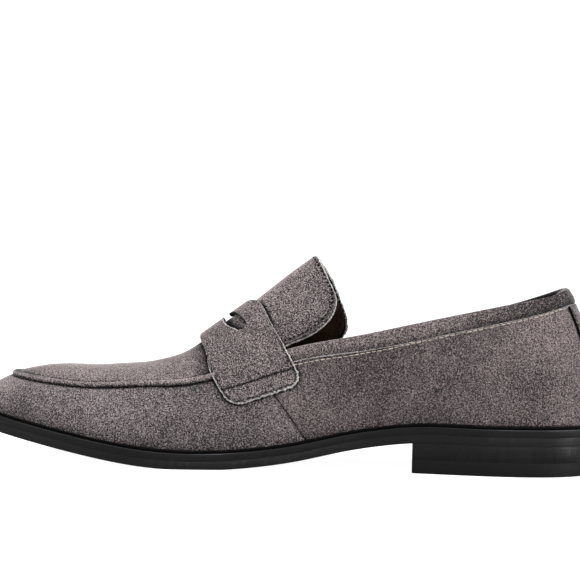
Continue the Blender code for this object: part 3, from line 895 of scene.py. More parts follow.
@dataclass(frozen=True)
class Rubber:
    """Black sole material, drawn along the shoe by the trimming wheel, and lighter where the mesh carries a
    painted highlight.
    """

    name: str
    colour: Colour
    roughness: float = 0.42
    gloss: float = 0.185
    drawn: Colour = (14.0, 14.0, 1100.0)
    drawn_share: float = 0.6
    drawn_rough: float = 0.2
    cloud: float = 45.0
    cloud_share: float = 0.5
    cloud_rough: float = 0.25
    middle_rough: float = 0.22
    level: float = -0.05
    highlight_share: float = 0.4
    pits: float = 900.0
    pit_share: float = 0.25
    relief: float = 0.6
    streak: float = 0.2

    def make(self) -> Material:
        """Makes the material.

        Returns:
            The material.
        """
        brush = Brush(self.name)
        lines = brush.noise(1.0, detail=3.0, rough=0.6, place=brush.stretched(self.drawn))
        cloud = brush.noise(self.cloud, detail=3.0)
        tone = brush.sum(lines, self.drawn_share, brush.sum(cloud, self.cloud_share, self.level))
        # Painted highlight: the mesh's number lifts the tone up to the last, much lighter stop.
        tone = brush.sum(brush.own("shade"), self.highlight_share, tone)
        stops = ((0.3, scaled(self.colour, 0.7)), (0.55, self.colour), (0.75, scaled(self.colour, 1.5)),
                 (1.0, scaled(self.colour, 12.0)))
        brush.join(brush.ramp(tone, stops), "Base Color")
        least = self.roughness - self.middle_rough
        rough = brush.sum(cloud, self.cloud_rough, brush.sum(lines, self.drawn_rough, least))
        brush.join(rough, "Roughness")
        brush.set(Specular_IOR_Level=self.gloss)
        pitted = brush.sum(brush.noise(self.pits, detail=1.0), self.pit_share, lines)
        brush.bump(pitted, self.relief, self.streak)
        return brush.material


@dataclass(frozen=True)
class Thread:
    """Twisted sewing thread, with its fibres counted in a metre."""

    name: str
    colour: Colour
    gloss: float = 0.3
    fuzz: float = 0.2
    fibres: float = 2600.0
    relief: float = 0.4
    depth: float = 0.1

    def make(self) -> Material:
        """Makes the material.

        Returns:
            The material.
        """
        brush = Brush(self.name)
        fibre = brush.noise(self.fibres, detail=1.0)
        stops = ((0.3, scaled(self.colour, 0.55)), (0.55, self.colour), (0.8, scaled(self.colour, 1.3)))
        brush.join(brush.ramp(fibre, stops), "Base Color")
        brush.set(Roughness=0.7, Specular_IOR_Level=self.gloss, Sheen_Weight=self.fuzz)
        brush.bump(fibre, self.relief, self.depth)
        return brush.material


@dataclass(frozen=True)
class Finishes:
    """Every material of the shoe, made once."""

    vamp: Material
    instep: Material
    quarters: Material
    binding: Material
    raw_edge: Material
    lining: Material
    lining_edge: Material
    sock: Material
    sole: Material
    top_piece: Material
    # A flat black that stands in for shadow: the bead over the welt and the tongue's inner face.
    seam_black: Material
    pale_thread: Material
    grey_thread: Material

    @classmethod
    def made(cls) -> "Finishes":
        """Makes the materials.

        Returns:
            The set of them.
        """
        return cls(
            vamp=Suede("vamp_suede", (0.135, 0.114, 0.114)).make(),
            instep=Suede("instep_suede", (0.134, 0.112, 0.111), contrast=0.9).make(),
            quarters=Suede("quarter_suede", (0.134, 0.110, 0.109), contrast=0.67, depth=0.25).make(),
            binding=Suede("binding_suede", (0.130, 0.108, 0.106), contrast=0.75).make(),
            raw_edge=Hide("raw_edge", (0.46, 0.435, 0.42), grain=1800.0, contrast=0.8).make(),
            lining=Hide("brown_lining", (0.038, 0.020, 0.013), gloss=0.12, contrast=0.95).make(),
            lining_edge=Hide("lining_edge", (0.10, 0.075, 0.06)).make(),
            sock=Hide("brown_sock", (0.030, 0.019, 0.014), roughness=0.6).make(),
            sole=Rubber("black_sole", (0.0075, 0.0075, 0.0083)).make(),
            top_piece=Rubber("black_top_piece", (0.004, 0.004, 0.0044), roughness=0.62).make(),
            seam_black=Hide("painted_shadow_black", (0.003, 0.003, 0.003), roughness=0.95, gloss=0.1).make(),
            pale_thread=Thread("pale_thread", (0.72, 0.62, 0.53)).make(),
            grey_thread=Thread("grey_thread", (0.006, 0.005, 0.005), gloss=0.05, fuzz=0.0).make(),
        )


@dataclass(frozen=True)
class Stitches:
    """A row of stitches or frayed tufts; ragged is how unlike they are, as a share of the radius."""

    pitch: float
    length: float
    radius: float
    ragged: float = 0.1
    proud: float = 0.25
    ball_steps: int = 6

    def lay(self, mesh: Mesh, path: Array, normals: Array, thin: Array | float = 0.0) -> None:
        """Adds the row to a mesh, along a path.

        Args:
            mesh: the mesh to add to.
            path: points of the seam, in millimetres.
            normals: the way out of the leather at each point.
            thin: what is taken off the radius, the same all along or one for each point.
        """
        run = np.append(0.0, np.cumsum(np.linalg.norm(np.diff(path, axis=0), axis=-1)))
        count = int(run[-1] / self.pitch)
        middles = (np.arange(count) + 0.5) * run[-1] / count
        spots, back, ahead, out = (
            np.stack([np.interp(middles + by, run, column) for column in rows.T], -1)
            for rows, by in ((path, 0.0), (path, -0.5), (path, 0.5), (normals, 0.0)))
        way = unit(ahead - back)
        side = unit(np.cross(way, out))
        out = np.cross(side, way)
        thick = np.interp(middles, run, np.broadcast_to(self.radius - thin, len(path)))[:, None]
        chance = np.random.default_rng(len(path)).uniform(-1.0, 1.0, (3, count, 1))
        wide, high, aside = thick * (1.0 + self.ragged * chance)
        spots = LAST.to_frame(spots + out * self.proud * thick + side * (aside - thick))
        axes = np.stack([side * wide, -out * high, way * 0.5 * self.length], -2) * MM
        ball = bmesh.new()
        bmesh.ops.create_uvsphere(ball, u_segments=self.ball_steps, v_segments=self.ball_steps, radius=1.0)
        corners = np.array([vert.co for vert in ball.verts])
        first = len(corners) * np.arange(count)[:, None]
        faces = [ring for face in ball.faces for ring in first + [vert.index for vert in face.verts]]
        ball.free()
        row = bpy.data.meshes.new("stitches")
        row.from_pydata((corners @ axes + spots[:, None]).reshape(-1, 3), [], faces)
        mesh.from_mesh(row)
        bpy.data.meshes.remove(row)


def ridge_highlight(points: Array, light: float = 0.45, width: float = 5.0) -> Array:
    """How much painted highlight lies along the ridge of the instep, where its silhouette catches the light.

    Args:
        points: on the apron, the tongue or the strap.
        light: how much on the ridge itself.
        width: how far it reaches down each side.

    Returns:
        One number a point.
    """
    aside = points[..., 1:] - LAST.ridge_line(-points[..., 0])
    return light * bell(np.linalg.norm(aside, axis=-1), width)


def edge_close(count: int, near: Sequence[float]) -> Array:
    """Numbers from -1 to 1 that crowd at both ends.

    Args:
        count: even steps between the ends.
        near: extra places, as shares of the half length from each end.

    Returns:
        The numbers in order.
    """
    extra = 1.0 - np.asarray(near)
    return np.unique(np.round(np.concatenate([np.linspace(-1.0, 1.0, count), extra, -extra]), 6))


@dataclass
class Sole:
    """Welt, outsole and the two lifts of the heel."""

    edge: float = 7.7
    welt: float = 3.6
    round: float = 0.4
    bottom_round: float = 0.15
    round_steps: int = 6
    cap_blends: tuple[float, ...] = (1.0, 0.6, 0.2)
    spine_length: float = 0.9
    columns: int = 480
    # A black bead in the corner over the welt, standing in for the shadow at the feather line.
    bead_width: float = 0.5
    bead_height: float = 0.6
    bead_lift: float = 0.8
    bead_sides: int = 10
    joint: float = 0.02
    joint_round: float = 0.06
    breast: float = 84.5
    breast_steps: int = 33
    hollow: float = 3.0
    heel_inset: float = 0.1
    heel_middle: float = 0.45
    heel_steps: int = 161
    corner_steps: int = 901
    top_piece: float = 6.6
    # Painted highlight on the welt's rounded top edge: some all round, more at the waist and round the back.
    highlight_all: float = 0.25
    highlight_waist: float = 174.0
    highlight_span: float = 16.0
    highlight_heel: float = 0.8
    highlight_back: float = 45.0

    def spine(self, turn: Array) -> Array:
        """Middle line of the foot, drawn in from heel and toe, for closing a layer.

        Args:
            turn: places on the loop.

        Returns:
            A point of the plan for each turn.
        """
        row = ROWS - np.abs(np.mod(turn, TURNS) - ROWS)
        ends = 0.5 * (LAST.edge(row) + LAST.edge(TURNS - row))
        middle = np.array([-0.5 * (SECTIONS[0].edge_s + SECTIONS[-1].edge_s), 0.0])
        return middle + (ends - middle) * np.array([self.spine_length, 1.0])

    def bottom(self, x: Array) -> Array:
        """Underside of the outsole, flat where the forefoot stands."""
        return np.maximum(LAST.sole_top(x) - self.edge, 0.0)

    def layer(self, levels: Levels, outline: Callable[[Array, float], Array], middle: Array, turns: Array,
              highlight: Array | float = 0.0) -> Mesh:
        """A closed layer between two faces.

        Args:
            levels: insets of the edge with heights over the plan, from the top down.
            outline: plan of the edge at an inset.
            middle: where the top and bottom close, a point for each turn.
            turns: places along the edge, the first one repeated at the end.
            highlight: how much painted highlight the top's rounded edge gets at each turn.

        Returns:
            The layer's mesh.
        """
        rows = []
        caps = [(blend, *levels[0]) for blend in self.cap_blends]
        ends = [(blend, *levels[-1]) for blend in self.cap_blends[::-1]]
        for blend, inset, height in (*caps, *[(0.0, *step) for step in levels], *ends):
            plan = outline(turns, inset)
            plan = plan + (middle - plan) * blend
            rows.append(np.concatenate([plan, height(plan[..., 0])[..., None]], -1))
        shade = np.zeros((len(rows), len(turns)))
        # The middle rows of the rounded top edge get the painted highlight.
        shade[len(caps) + 1:len(caps) + self.round_steps - 1] = highlight
        return sheet_mesh(np.array(rows), shade)

    def whole(self, levels: Levels, highlight: float = 0.0) -> Mesh:
        """A layer with the outline of the whole sole, its top edge given a painted highlight, most at the
        waist and the back.

        Args:
            levels: insets of the edge with heights over the plan, from the top down.
            highlight: how much painted highlight the top's rounded edge gets.

        Returns:
            The layer's mesh.
        """
        turns = loop(TURNS, self.columns)
        station = -LAST.edge(turns)[:, 0]
        bright = self.highlight_all + bell(station - self.highlight_waist, self.highlight_span)
        bright += self.highlight_heel * bell(station, self.highlight_back)
        return self.layer(levels, LAST.sole_outline, self.spine(turns), turns, highlight * bright)

    def corner(self, face: Height, radius: float, way: int) -> list[tuple[float, Height]]:
        """Levels of a rounded edge.

        Args:
            face: height of the face that the edge belongs to.
            radius: of the round.
            way: -1 under an upper face, 1 over a lower face.

        Returns:
            Insets with heights, from the face to the side.
        """
        angles = np.linspace(0.0, 0.5 * math.pi, self.round_steps)
        return [(radius * (1.0 - math.sin(a)), raised(face, way * radius * (1.0 - math.cos(a))))
                for a in angles]

    def sides(self, top: Height, top_round: float, bottom: Height, bottom_round: float) -> Levels:
        """Levels of a layer with both edges rounded.

        Args:
            top: height of its upper face.
            top_round: radius of its upper edge.
            bottom: height of its lower face.
            bottom_round: radius of its lower edge.

        Returns:
            Insets with heights, from the top down.
        """
        return self.corner(top, top_round, -1) + self.corner(bottom, bottom_round, 1)[::-1]

    def heel_outline(self, share: Array, inset: float) -> Array:
        """Plan of the heel: round the back, then across the hollow breast.

        Args:
            share: -1 to 1 round the back from corner to corner, 1 to 2 across the breast.
            inset: how far the edge is drawn in.

        Returns:
            Points of the plan.
        """
        inset = inset + self.heel_inset
        turns = np.linspace(0.0, 0.5 * ROWS, self.corner_steps)
        corner = np.interp(self.breast - inset, -LAST.sole_outline(turns, inset)[:, 0], turns)
        back = LAST.sole_outline(corner * np.clip(share, -1.0, 1.0), inset)
        ends = LAST.sole_outline(np.array([corner, -corner]), inset)
        across = np.clip(share - 1.0, 0.0, 1.0)[..., None]
        breast = ends[0] + (ends[1] - ends[0]) * across
        breast[..., :1] += self.hollow * 4.0 * across * (1.0 - across)
        return np.where(share[..., None] <= 1.0, back, breast)

    def lift(self, top: Height, bottom: float, bottom_round: float) -> Mesh:
        """One lift of the heel.

        Args:
            top: height of its upper face.
            bottom: height of its lower face.
            bottom_round: radius of its lower edge.

        Returns:
            The lift's mesh.
        """
        back, breast = np.linspace(-1.0, 1.0, self.heel_steps), np.linspace(1.0, 2.0, self.breast_steps)
        turns = np.concatenate([back, breast[1:]])
        levels = self.sides(top, self.joint_round, level(bottom), bottom_round)
        middle = np.full((len(turns), 2), (-self.heel_middle * self.breast, 0.0))
        return self.layer(levels, self.heel_outline, middle, turns)

    def build(self, finishes: Finishes) -> None:
        """Builds and dresses the layers and the black bead of painted shadow over the welt.

        Args:
            finishes: the shoe's materials.
        """
        joint = raised(LAST.sole_top, -self.welt)
        under = raised(joint, -self.joint)
        seat = raised(self.bottom, -self.joint)
        welt = self.whole(self.sides(LAST.sole_top, self.round, joint, self.joint_round), highlight=1.0)
        outsole = self.whole(self.sides(under, self.joint_round, self.bottom, self.bottom_round))
        block = self.lift(seat, self.top_piece + self.joint, self.joint_round)
        tip = self.lift(level(self.top_piece), 0.0, self.round)
        make_piece("welt", welt, [finishes.sole], ["welt"])
        make_piece("outsole", outsole, [finishes.sole], ["outsole"])
        make_piece("heel_block", block, [finishes.sole], ["heel_block"])
        make_piece("heel_top_piece", tip, [finishes.top_piece], ["heel_top_piece"])
        self.build_shadow_bead(finishes)

    def build_shadow_bead(self, finishes: Finishes) -> None:
        """Builds a black bead in the corner between the upper and the welt, a dark sheet that stands in for
        the shadow there.

        Args:
            finishes: the shoe's materials.
        """
        turns = loop(TURNS, self.columns)
        middle = LAST.foot(turns, np.zeros_like(turns)) + UP * (self.bead_lift * self.bead_height)
        out = LAST.outward(turns) * self.bead_width
        rows = [middle + out * math.cos(a) + UP * (self.bead_height * math.sin(a))
                for a in loop(2.0 * math.pi, self.bead_sides)]
        make_piece("welt_shadow_bead", sheet_mesh(np.array(rows), flip=True), [finishes.seam_black])


class LipPoint(NamedTuple):
    """A point of the lip's section: across from the seam, wall side below zero, and out of the leather."""

    across: float
    height: float


@dataclass
class Upper:
    """Vamp, quarters and apron, with the raised lip along the apron seam."""

    thickness: float = 2.0
    margin: tuple[float, ...] = (8.0, 4.0, 1.0)
    wall_rows: int = 45
    wall_crowd: float = 1.15
    wall_columns: int = 231
    turn_length: float = 28.0
    seam_foot: float = 6.775
    seam_head: float = 7.76
    seam_gap: float = 0.0035
    seam_near: tuple[float, ...] = (0.4, 0.9, 1.5, 2.3, 3.2, 4.4)
    seam_roll: float = 0.9
    seam_dip: float = 0.4
    seam_dark: float = 0.6
    seam_line: float = 0.35
    foot_roll: float = 0.7
    foot_height: float = 1.6
    # A painted shadow line at the foot of the wall by the sole, and the wall darker towards the sole above
    # it.
    foot_line: float = 2.0
    foot_line_span: Span = (0.7, 1.6)
    foot_dark: float = 0.5
    foot_fade: float = 3.0
    apron_columns: int = 241
    apron_rows: int = 41
    apron_end: float = 175.6
    apron_slant: float = 7.0
    # Painted light: the apron, which faces up to the lamps, is made a little lighter.
    apron_painted_light: float = 0.08
    sag: float = 1.6
    sag_span: Span = (184.0, 216.0)
    # Painted shadow close under the lip on the vamp, and painted shade in the valley behind it on the apron.
    lip_shadow: float = 1.5
    lip_shadow_span: Span = (1.3, 2.3)
    lip_shadow_start: float = 5.0
    lip_valley: float = 0.45
    lip_valley_span: Span = (3.0, 6.5)
    lip_columns: int = 401
    lip_start: float = 1.5
    lip_nick: float = 11.02
    lip_nick_depth: float = 0.35
    lip_nick_width: float = 0.03
    lip_slim: float = 0.2
    lip_slim_span: Span = (-2.5, -0.5)
    lip_gather: float = 0.09
    lip_waves: Span = (41.0, 17.3)
    lip_uneven: float = 0.6
    lip_close: float = 0.02
    lip_lean: Span = (-1.2, 1.6)
    lip_firm: float = 0.5
    lip_section: tuple[LipPoint, ...] = tuple(LipPoint(*row) for row in (
        (-0.5, -0.6), (-0.95, -0.05), (-1.2, 0.4), (-1.25, 0.9), (-1.05, 1.4), (-0.6, 1.8), (0.0, 2.0),
        (0.6, 1.95), (1.2, 1.65), (1.8, 1.15), (2.4, 0.65), (3.0, 0.2), (3.7, -0.2), (3.0, -1.0),
        (0.5, -1.0), (-0.5, -0.6)))
    # Painted light and shade on the lip: its front face darker down towards the vamp, its top lighter, the
    # valley behind it darker.
    lip_front_shade: tuple[Span, ...] = ((-0.1, 1.6), (0.5, 0.5), (1.6, -0.2))
    lip_rear_shade: tuple[Span, ...] = ((0.0, -0.2), (0.8, -0.05), (1.8, 1.0), (3.0, 0.75))

    def seam(self, rise: Array) -> Array:
        """Where the side seam crosses each height of the inner wall."""
        return self.seam_foot + (self.seam_head - self.seam_foot) * np.clip(rise, 0.0, 1.0)

    def relief(self, points: Array) -> Array:
        """Depth of the soft troughs, on both sides of the foot.

        Args:
            points: of the wall.

        Returns:
            One depth a point.
        """
        depth = np.zeros(points.shape[:-1])
        for mirror in (False, True):
            for dent in DENTS:
                turns = np.array([dent.turn_a, dent.turn_b])
                turns = TURNS - turns if mirror else turns
                start, end = LAST.wall(turns, np.array([dent.rise_a, dent.rise_b]))
                run = end - start
                along = np.clip(((points - start) @ run) / (run @ run), 0.0, 1.0)
                away = np.linalg.norm(points - start - along[..., None] * run, axis=-1)
                depth += dent.depth * bell(away, dent.width)
        return depth

    def shade(self, points: Array) -> Array:
        """How much darker the colour is painted: a painted shadow line at the foot of the wall, darker
        towards the sole above it, and the nap marks.

        Args:
            points: of the wall.

        Returns:
            One number a point.
        """
        over_sole = points[..., 2] - LAST.sole_top(points[..., 0])
        # A painted shadow line at the foot of the wall, then darker towards the sole.
        dark = self.foot_line * (1.0 - fade(over_sole, *self.foot_line_span))
        dark = dark + self.foot_dark * np.exp(-np.maximum(over_sole, 0.0) / self.foot_fade)
        for mirror in (False, True):
            for mark in NAP_MARKS:
                turn = np.array(TURNS - mark.turn if mirror else mark.turn)
                away = np.linalg.norm(points - LAST.wall(turn, np.array(mark.rise)), axis=-1)
                dark = dark + mark.amount * bell(away, mark.radius)
        return dark

    def under_lip(self, turn: Array, points: Array) -> Array:
        """How much painted shadow lies close under the apron's lip.

        Args:
            turn: places on the loop.
            points: of the wall at those places.

        Returns:
            One number a point.
        """
        top = LAST.top(turn)
        away = np.linalg.norm(points - top, axis=-1)
        front = fade(-top[..., 0], self.apron_end, self.apron_end + self.lip_shadow_start)
        return self.lip_shadow * front * (1.0 - fade(away, *self.lip_shadow_span))

    def side(self, turn: Array, rise: Array, from_seam: Array, strap: "PennyStrap") -> tuple[Array, Array]:
        """Points and painted darkness of a side panel: nap marks, painted shade and painted shadow.

        Args:
            turn: places on the loop.
            rise: 0 to 1 up the wall; below zero, millimetres drawn in under the foot.
            from_seam: distance to the side seam.
            strap: which shades the wall round it.

        Returns:
            The points, and how much darker the colour is painted there: nap marks, the darker seam, painted
            shade and painted shadow.
        """
        up = np.clip(rise, 0.0, 1.0)
        points = LAST.wall(turn, up)
        out = LAST.facing(LAST.wall, turn, up)
        over = points[..., 2] - LAST.sole_top(points[..., 0]) - LAST.gap
        tuck = self.foot_roll * np.clip(1.0 - over / self.foot_height, 0.0, 1.0) ** 2
        dip = self.seam_dip * bell(from_seam, self.seam_roll)
        points = points - out * (self.relief(points) + dip)[..., None]
        points[..., :2] -= LAST.outward(turn)[..., :2] * tuck[..., None]
        under = LAST.foot(turn, self.foot_roll + np.maximum(-rise, 0.0))
        points = np.where((rise < 0.0)[..., None], under, points)
        # Painted shadow by the sole, under the lip and round the strap, with the nap marks.
        dark = self.shade(points) + self.under_lip(turn, points) + strap.shadow(points)
        return points, dark + self.seam_dark * bell(from_seam, self.seam_line)

    def build_sides(self, finishes: Finishes, strap: "PennyStrap") -> None:
        """Builds the quarters round the heel and the vamp round the toe.

        Args:
            finishes: the shoe's materials.
            strap: which shades the wall round it.
        """
        near = np.array(self.seam_near) / (self.turn_length * self.seam_foot)
        wall = np.linspace(0.0, 1.0, self.wall_rows) ** self.wall_crowd
        rises = np.concatenate([-np.array(self.margin), wall])
        share, rise = np.meshgrid(edge_close(self.wall_columns, near), rises)
        panels = (("quarters", 0.0, finishes.quarters), ("vamp", float(ROWS), finishes.vamp))
        for name, middle, finish in panels:
            reach = np.abs(middle - self.seam(rise)) - self.seam_gap
            turn = middle + share * reach
            from_seam = (1.0 - np.abs(share)) * reach * self.turn_length
            mesh = sheet_mesh(*self.side(turn, rise, from_seam, strap), flip=True)
            piece = make_piece(name, mesh, [finish, finishes.lining], ["upper"])
            thicken(piece, self.thickness, inside=1)

    def build_apron(self, finishes: Finishes, strap: "PennyStrap") -> None:
        """Builds the panel over the toes, which ends under the strap.

        Args:
            finishes: the shoe's materials.
            strap: which shades the apron in front of it.
        """
        shares, climbs = np.linspace(-1.0, 1.0, self.apron_columns), np.linspace(0.0, 1.0, self.apron_rows)
        share, climb = np.meshgrid(shares, climbs)
        end = LAST.turn_at(self.apron_end + self.apron_slant * climb)
        points = LAST.crown(ROWS + share * (ROWS - end), climb)
        from_seam = np.linalg.norm(points - points[:1], axis=-1)
        # Painted shade in the valley behind the lip, the strap's painted shadow with a wide band of painted
        # shade, and painted light on the apron and along its ridge.
        valley = self.lip_valley * (1.0 - fade(from_seam, *self.lip_valley_span))
        shade = strap.shadow(points, strap.wide_shade_dark) + valley - self.apron_painted_light - ridge_highlight(points)
        points[..., 2] -= self.sag * climb**2 * (1.0 - fade(-points[..., 0], *self.sag_span))
        mesh = sheet_mesh(points, shade, flip=True)
        piece = make_piece("apron", mesh, [finishes.instep, finishes.lining], ["upper"])
        thicken(piece, self.thickness, inside=1)

    def build_lip(self, finishes: Finishes) -> None:
        """Builds the rolled lip: steep over the vamp, easing into the apron behind it.

        Args:
            finishes: the shoe's materials.
        """
        start = float(LAST.turn_at(SEAM_EDGE.front - self.lip_start))
        turns = np.linspace(start, TURNS - start, self.lip_columns)
        wall_out = LAST.facing(LAST.wall, turns, np.full_like(turns, 1.0 - self.lip_close))
        crown_out = LAST.facing(LAST.crown, turns, np.full_like(turns, self.lip_close))
        nick = 1.0 - self.lip_nick_depth * bell(turns - self.lip_nick, self.lip_nick_width)
        uneven = np.sin(turns * self.lip_waves[0]) * np.sin(turns * self.lip_waves[1])
        gather = 1.0 + self.lip_gather * uneven
        gather *= 1.0 - self.lip_slim * fade(-np.abs(turns - ROWS), *self.lip_slim_span)
        rows = []
        for across, height in self.lip_section:
            lean = fade(np.array(across), *self.lip_lean)
            if across < 0:
                base = LAST.wall(turns, LAST.along(LAST.wall, turns, DOWN_WALL, -across))
            else:
                base = LAST.crown(turns, LAST.along(LAST.crown, turns, UP_CROWN, across))
            way = unit(wall_out * (1.0 - lean) + crown_out * lean)
            lift = height * nick * gather if height > self.lip_firm else np.full_like(turns, height)
            rows.append(base + way * lift[..., None])
        # Painted light and shade on the lip, made uneven along it.
        across, height = np.transpose(self.lip_section)
        front = np.interp(height, *np.transpose(self.lip_front_shade))
        rear = np.interp(across, *np.transpose(self.lip_rear_shade))
        nap = np.where(across < 0.0, front, rear)[:, None] * (1.0 + self.lip_uneven * uneven)
        mesh = sheet_mesh(np.array(rows), nap, flip=True)
        close_ends(mesh)
        make_piece("apron_lip", mesh, [finishes.instep], ["apron_piping"])

    def build(self, finishes: Finishes, strap: "PennyStrap") -> None:
        """Builds and dresses the panels.

        Args:
            finishes: the shoe's materials.
            strap: which shades the leather round it.
        """
        self.build_sides(finishes, strap)
        self.build_apron(finishes, strap)
        self.build_lip(finishes)


@dataclass
class PennyStrap:
    """Saddle strap with its half-moon slot, hem line and cut edge."""

    thickness: float = 1.85
    lift: float = 0.45
    rows: int = 75
    columns: int = 29
    edge_near: tuple[float, ...] = (0.015, 0.03, 0.05, 0.08)
    corner: float = 0.09
    corner_rows: int = 9
    trim: float = 0.17
    slot_reach: float = 0.412
    slot_near: tuple[float, ...] = (0.9, 0.94, 0.97, 0.985, 0.995, 1.0)
    slot_rear: float = 0.645
    slot_skew: float = 0.06
    slot_tip: float = 0.06
    slot_tip_from: float = 0.86
    slot_depth: float = 0.262
    slot_bow: float = 5.0
    slot_cusp: float = 0.138
    slot_cusp_reach: float = 0.3
    hem: float = 0.88
    hem_width: float = 0.0045
    hem_rows: int = 9
    hem_depth: float = 0.35
    # Painted shade in the hem's crease, and painted light on the raised end below it.
    hem_dark: float = 2.2
    hem_light: float = 0.08
    hem_span: Span = (0.14, 0.9)
    hem_thread: Stitches = Stitches(2.3, 1.7, 0.2)
    smoothing: int = 9
    smooth_from: Span = (0.50, 0.66)
    smooth_to: Span = (0.80, 0.92)
    # Painted shade: the whole strap a little darker, its cut edges and the slot's walls dark, and a dark line
    # just inside the lower edge where the face meets the frayed edge.
    strap_shade: float = 0.04
    edge_dark: float = 1.2
    edge_round: float = 0.3
    shade_line_in: float = 0.95
    shade_line_width: float = 0.3
    shade_line_dark: float = 0.8
    shade_line_span: Span = (0.5, 0.8)
    # Painted shadow along the strap's outline on the leather under it, and a wide band of painted shade on
    # the apron.
    shadow_dark: float = 1.7
    shadow_width: float = 0.95
    wide_shade_dark: float = 0.5
    wide_shade_width: float = 6.0
    path_steps: int = 60
    down_steps: int = 120
    bend_steps: int = 15
    edge_tufts: Stitches = Stitches(0.6, 1.3, 0.5, ragged=0.7)
    edge_tufts_low: float = 0.45
    rear_thin: float = 0.3
    rear_thin_span: Span = (0.15, 0.5)
    front_thin: float = 0.34
    front_thin_span: Span = (0.1, 0.45)
    slot_tufts: Stitches = Stitches(0.6, 1.3, 0.25, ragged=0.5)
    slot_tufts_low: float = 0.2
    slot_tufts_span: Span = (0.25, 0.99)
    slot_steps: int = 40

    def __post_init__(self) -> None:
        """Works out how high the strap's outer face lies over the saddle."""
        self.face = self.lift + self.thickness

    def slot_lines(self, reach: Array) -> tuple[Array, Array]:
        """Front edge of the slot, two bows that meet at the ridge, and its straight rear edge.

        Args:
            reach: -1 at the strap's inner end, 0 at the ridge, 1 at its outer end.

        Returns:
            The places of both edges, from 0 at the strap's front edge to 1 at its rear edge.
        """
        share = np.clip(np.abs(reach) / self.slot_reach, 0.0, 1.0)
        bow = np.sqrt(1.0 - share**self.slot_bow)
        cusp = self.slot_cusp * bell(share, self.slot_cusp_reach)
        rear = self.slot_rear + self.slot_skew * share - self.slot_tip * fade(share, self.slot_tip_from, 1.0)
        return rear - (self.slot_depth * bow - cusp * (1.0 - share)), rear

    def slot_station(self, climb: Array) -> Array:
        """Where the slot's front edge lies along the shoe.

        Args:
            climb: 0 at the apron seam, 1 at the ridge.

        Returns:
            Stations.
        """
        reach = (1.0 - climb) * SEAM_REACH
        front, rear = np.moveaxis(LAST.strap_lines(reach), -1, 0)
        return front + (rear - front) * self.slot_lines(reach)[0]

    def over(self, across: Array, reach: Array, lift: Array | float) -> tuple[Array, Array]:
        """Places over the saddle.

        Args:
            across: 0 at the strap's front edge, 1 at its rear edge.
            reach: -1 at its inner end, 0 at the ridge, 1 at its outer end.
            lift: height over the saddle.

        Returns:
            Points, and the way out of the leather there.
        """
        out = LAST.saddle_facing(across, reach)
        return LAST.saddle(across, reach) + out * np.asarray(lift)[..., None], out

    def outline(self, side: float, lift: float) -> tuple[Array, Array]:
        """The cut edge at one end of the strap, from its front to its rear.

        Args:
            side: -1 for the inner end, 1 for the outer one.
            lift: height over the saddle.

        Returns:
            Points, and the way out of the leather there.
        """
        down = np.linspace(0.0, 1.0 - self.corner, self.down_steps)
        bend = np.linspace(0.0, 0.5 * math.pi, self.bend_steps)[1:]
        reach = np.concatenate([down, 1.0 - self.corner * (1.0 - np.sin(bend))])
        across = np.concatenate([0.0 * down, self.trim * (1.0 - np.cos(bend))])
        middle = np.linspace(self.trim, 1.0 - self.trim, self.path_steps)[1:-1]
        reach = side * np.concatenate([reach, np.ones_like(middle), reach[::-1]])
        across = np.concatenate([across, middle, 1.0 - across[::-1]])
        return self.over(across, reach, lift)

    def away(self, points: Array, lift: float) -> Array:
        """Distance to the strap's outline.

        Args:
            points: of any piece.
            lift: height of the outline over the saddle.

        Returns:
            One distance a point.
        """
        outline = np.concatenate([self.outline(side, lift)[0] for side in SIDES])
        tree = KDTree(len(outline))
        for index, point in enumerate(outline):
            tree.insert(point, index)
        tree.balance()
        found = [tree.find(point)[2] for point in points.reshape(-1, 3)]
        return np.array(found).reshape(points.shape[:-1])

    def shadow(self, points: Array, smoke: float = 0.0) -> Array:
        """How much painted shadow lies by the strap's outline.

        Args:
            points: of the leather under the strap.
            smoke: how dark a wide band of painted shade is too.

        Returns:
            One number a point.
        """
        away = self.away(points, 0.0)
        return self.shadow_dark * bell(away, self.shadow_width) + smoke * bell(away, self.wide_shade_width)

    def reaches(self) -> Array:
        """Rows over the instep, close together at the slot's tips, the hem and the strap's ends.

        Returns:
            Numbers from -1 to 1.
        """
        tips = self.slot_reach * np.array(self.slot_near)
        bend = np.linspace(0.0, 0.5 * math.pi, self.corner_rows)
        ends = 1.0 - self.corner * (1.0 - np.sin(bend))
        crease = self.hem + self.hem_width * np.linspace(-2.0, 2.0, self.hem_rows)
        half = np.concatenate([np.linspace(0.0, 1.0 - self.corner, self.rows), tips, ends, crease])
        half = np.unique(np.round(half, 6))
        return np.concatenate([-half[:0:-1], half])

    def place(self, across: Array, reach: Array, lift: Array) -> Array:
        """Points over the saddle, smoothed where the apron meets the wall.

        Args:
            across: 0 at the strap's front edge, 1 at its rear edge.
            reach: -1 at its inner end, 0 at the ridge, 1 at its outer end, row by row.
            lift: height over the saddle.

        Returns:
            The points.
        """
        points = self.over(across, reach, lift)[0]
        span = 2 * self.smoothing + 1
        padded = np.concatenate([points[:1]] * self.smoothing + [points] + [points[-1:]] * self.smoothing)
        soft = sum(padded[k:k + len(points)] for k in range(span)) / span
        far = np.abs(reach)
        weight = fade(far, *self.smooth_from) * (1.0 - fade(far, *self.smooth_to))
        return points + (soft - points) * weight[..., None]

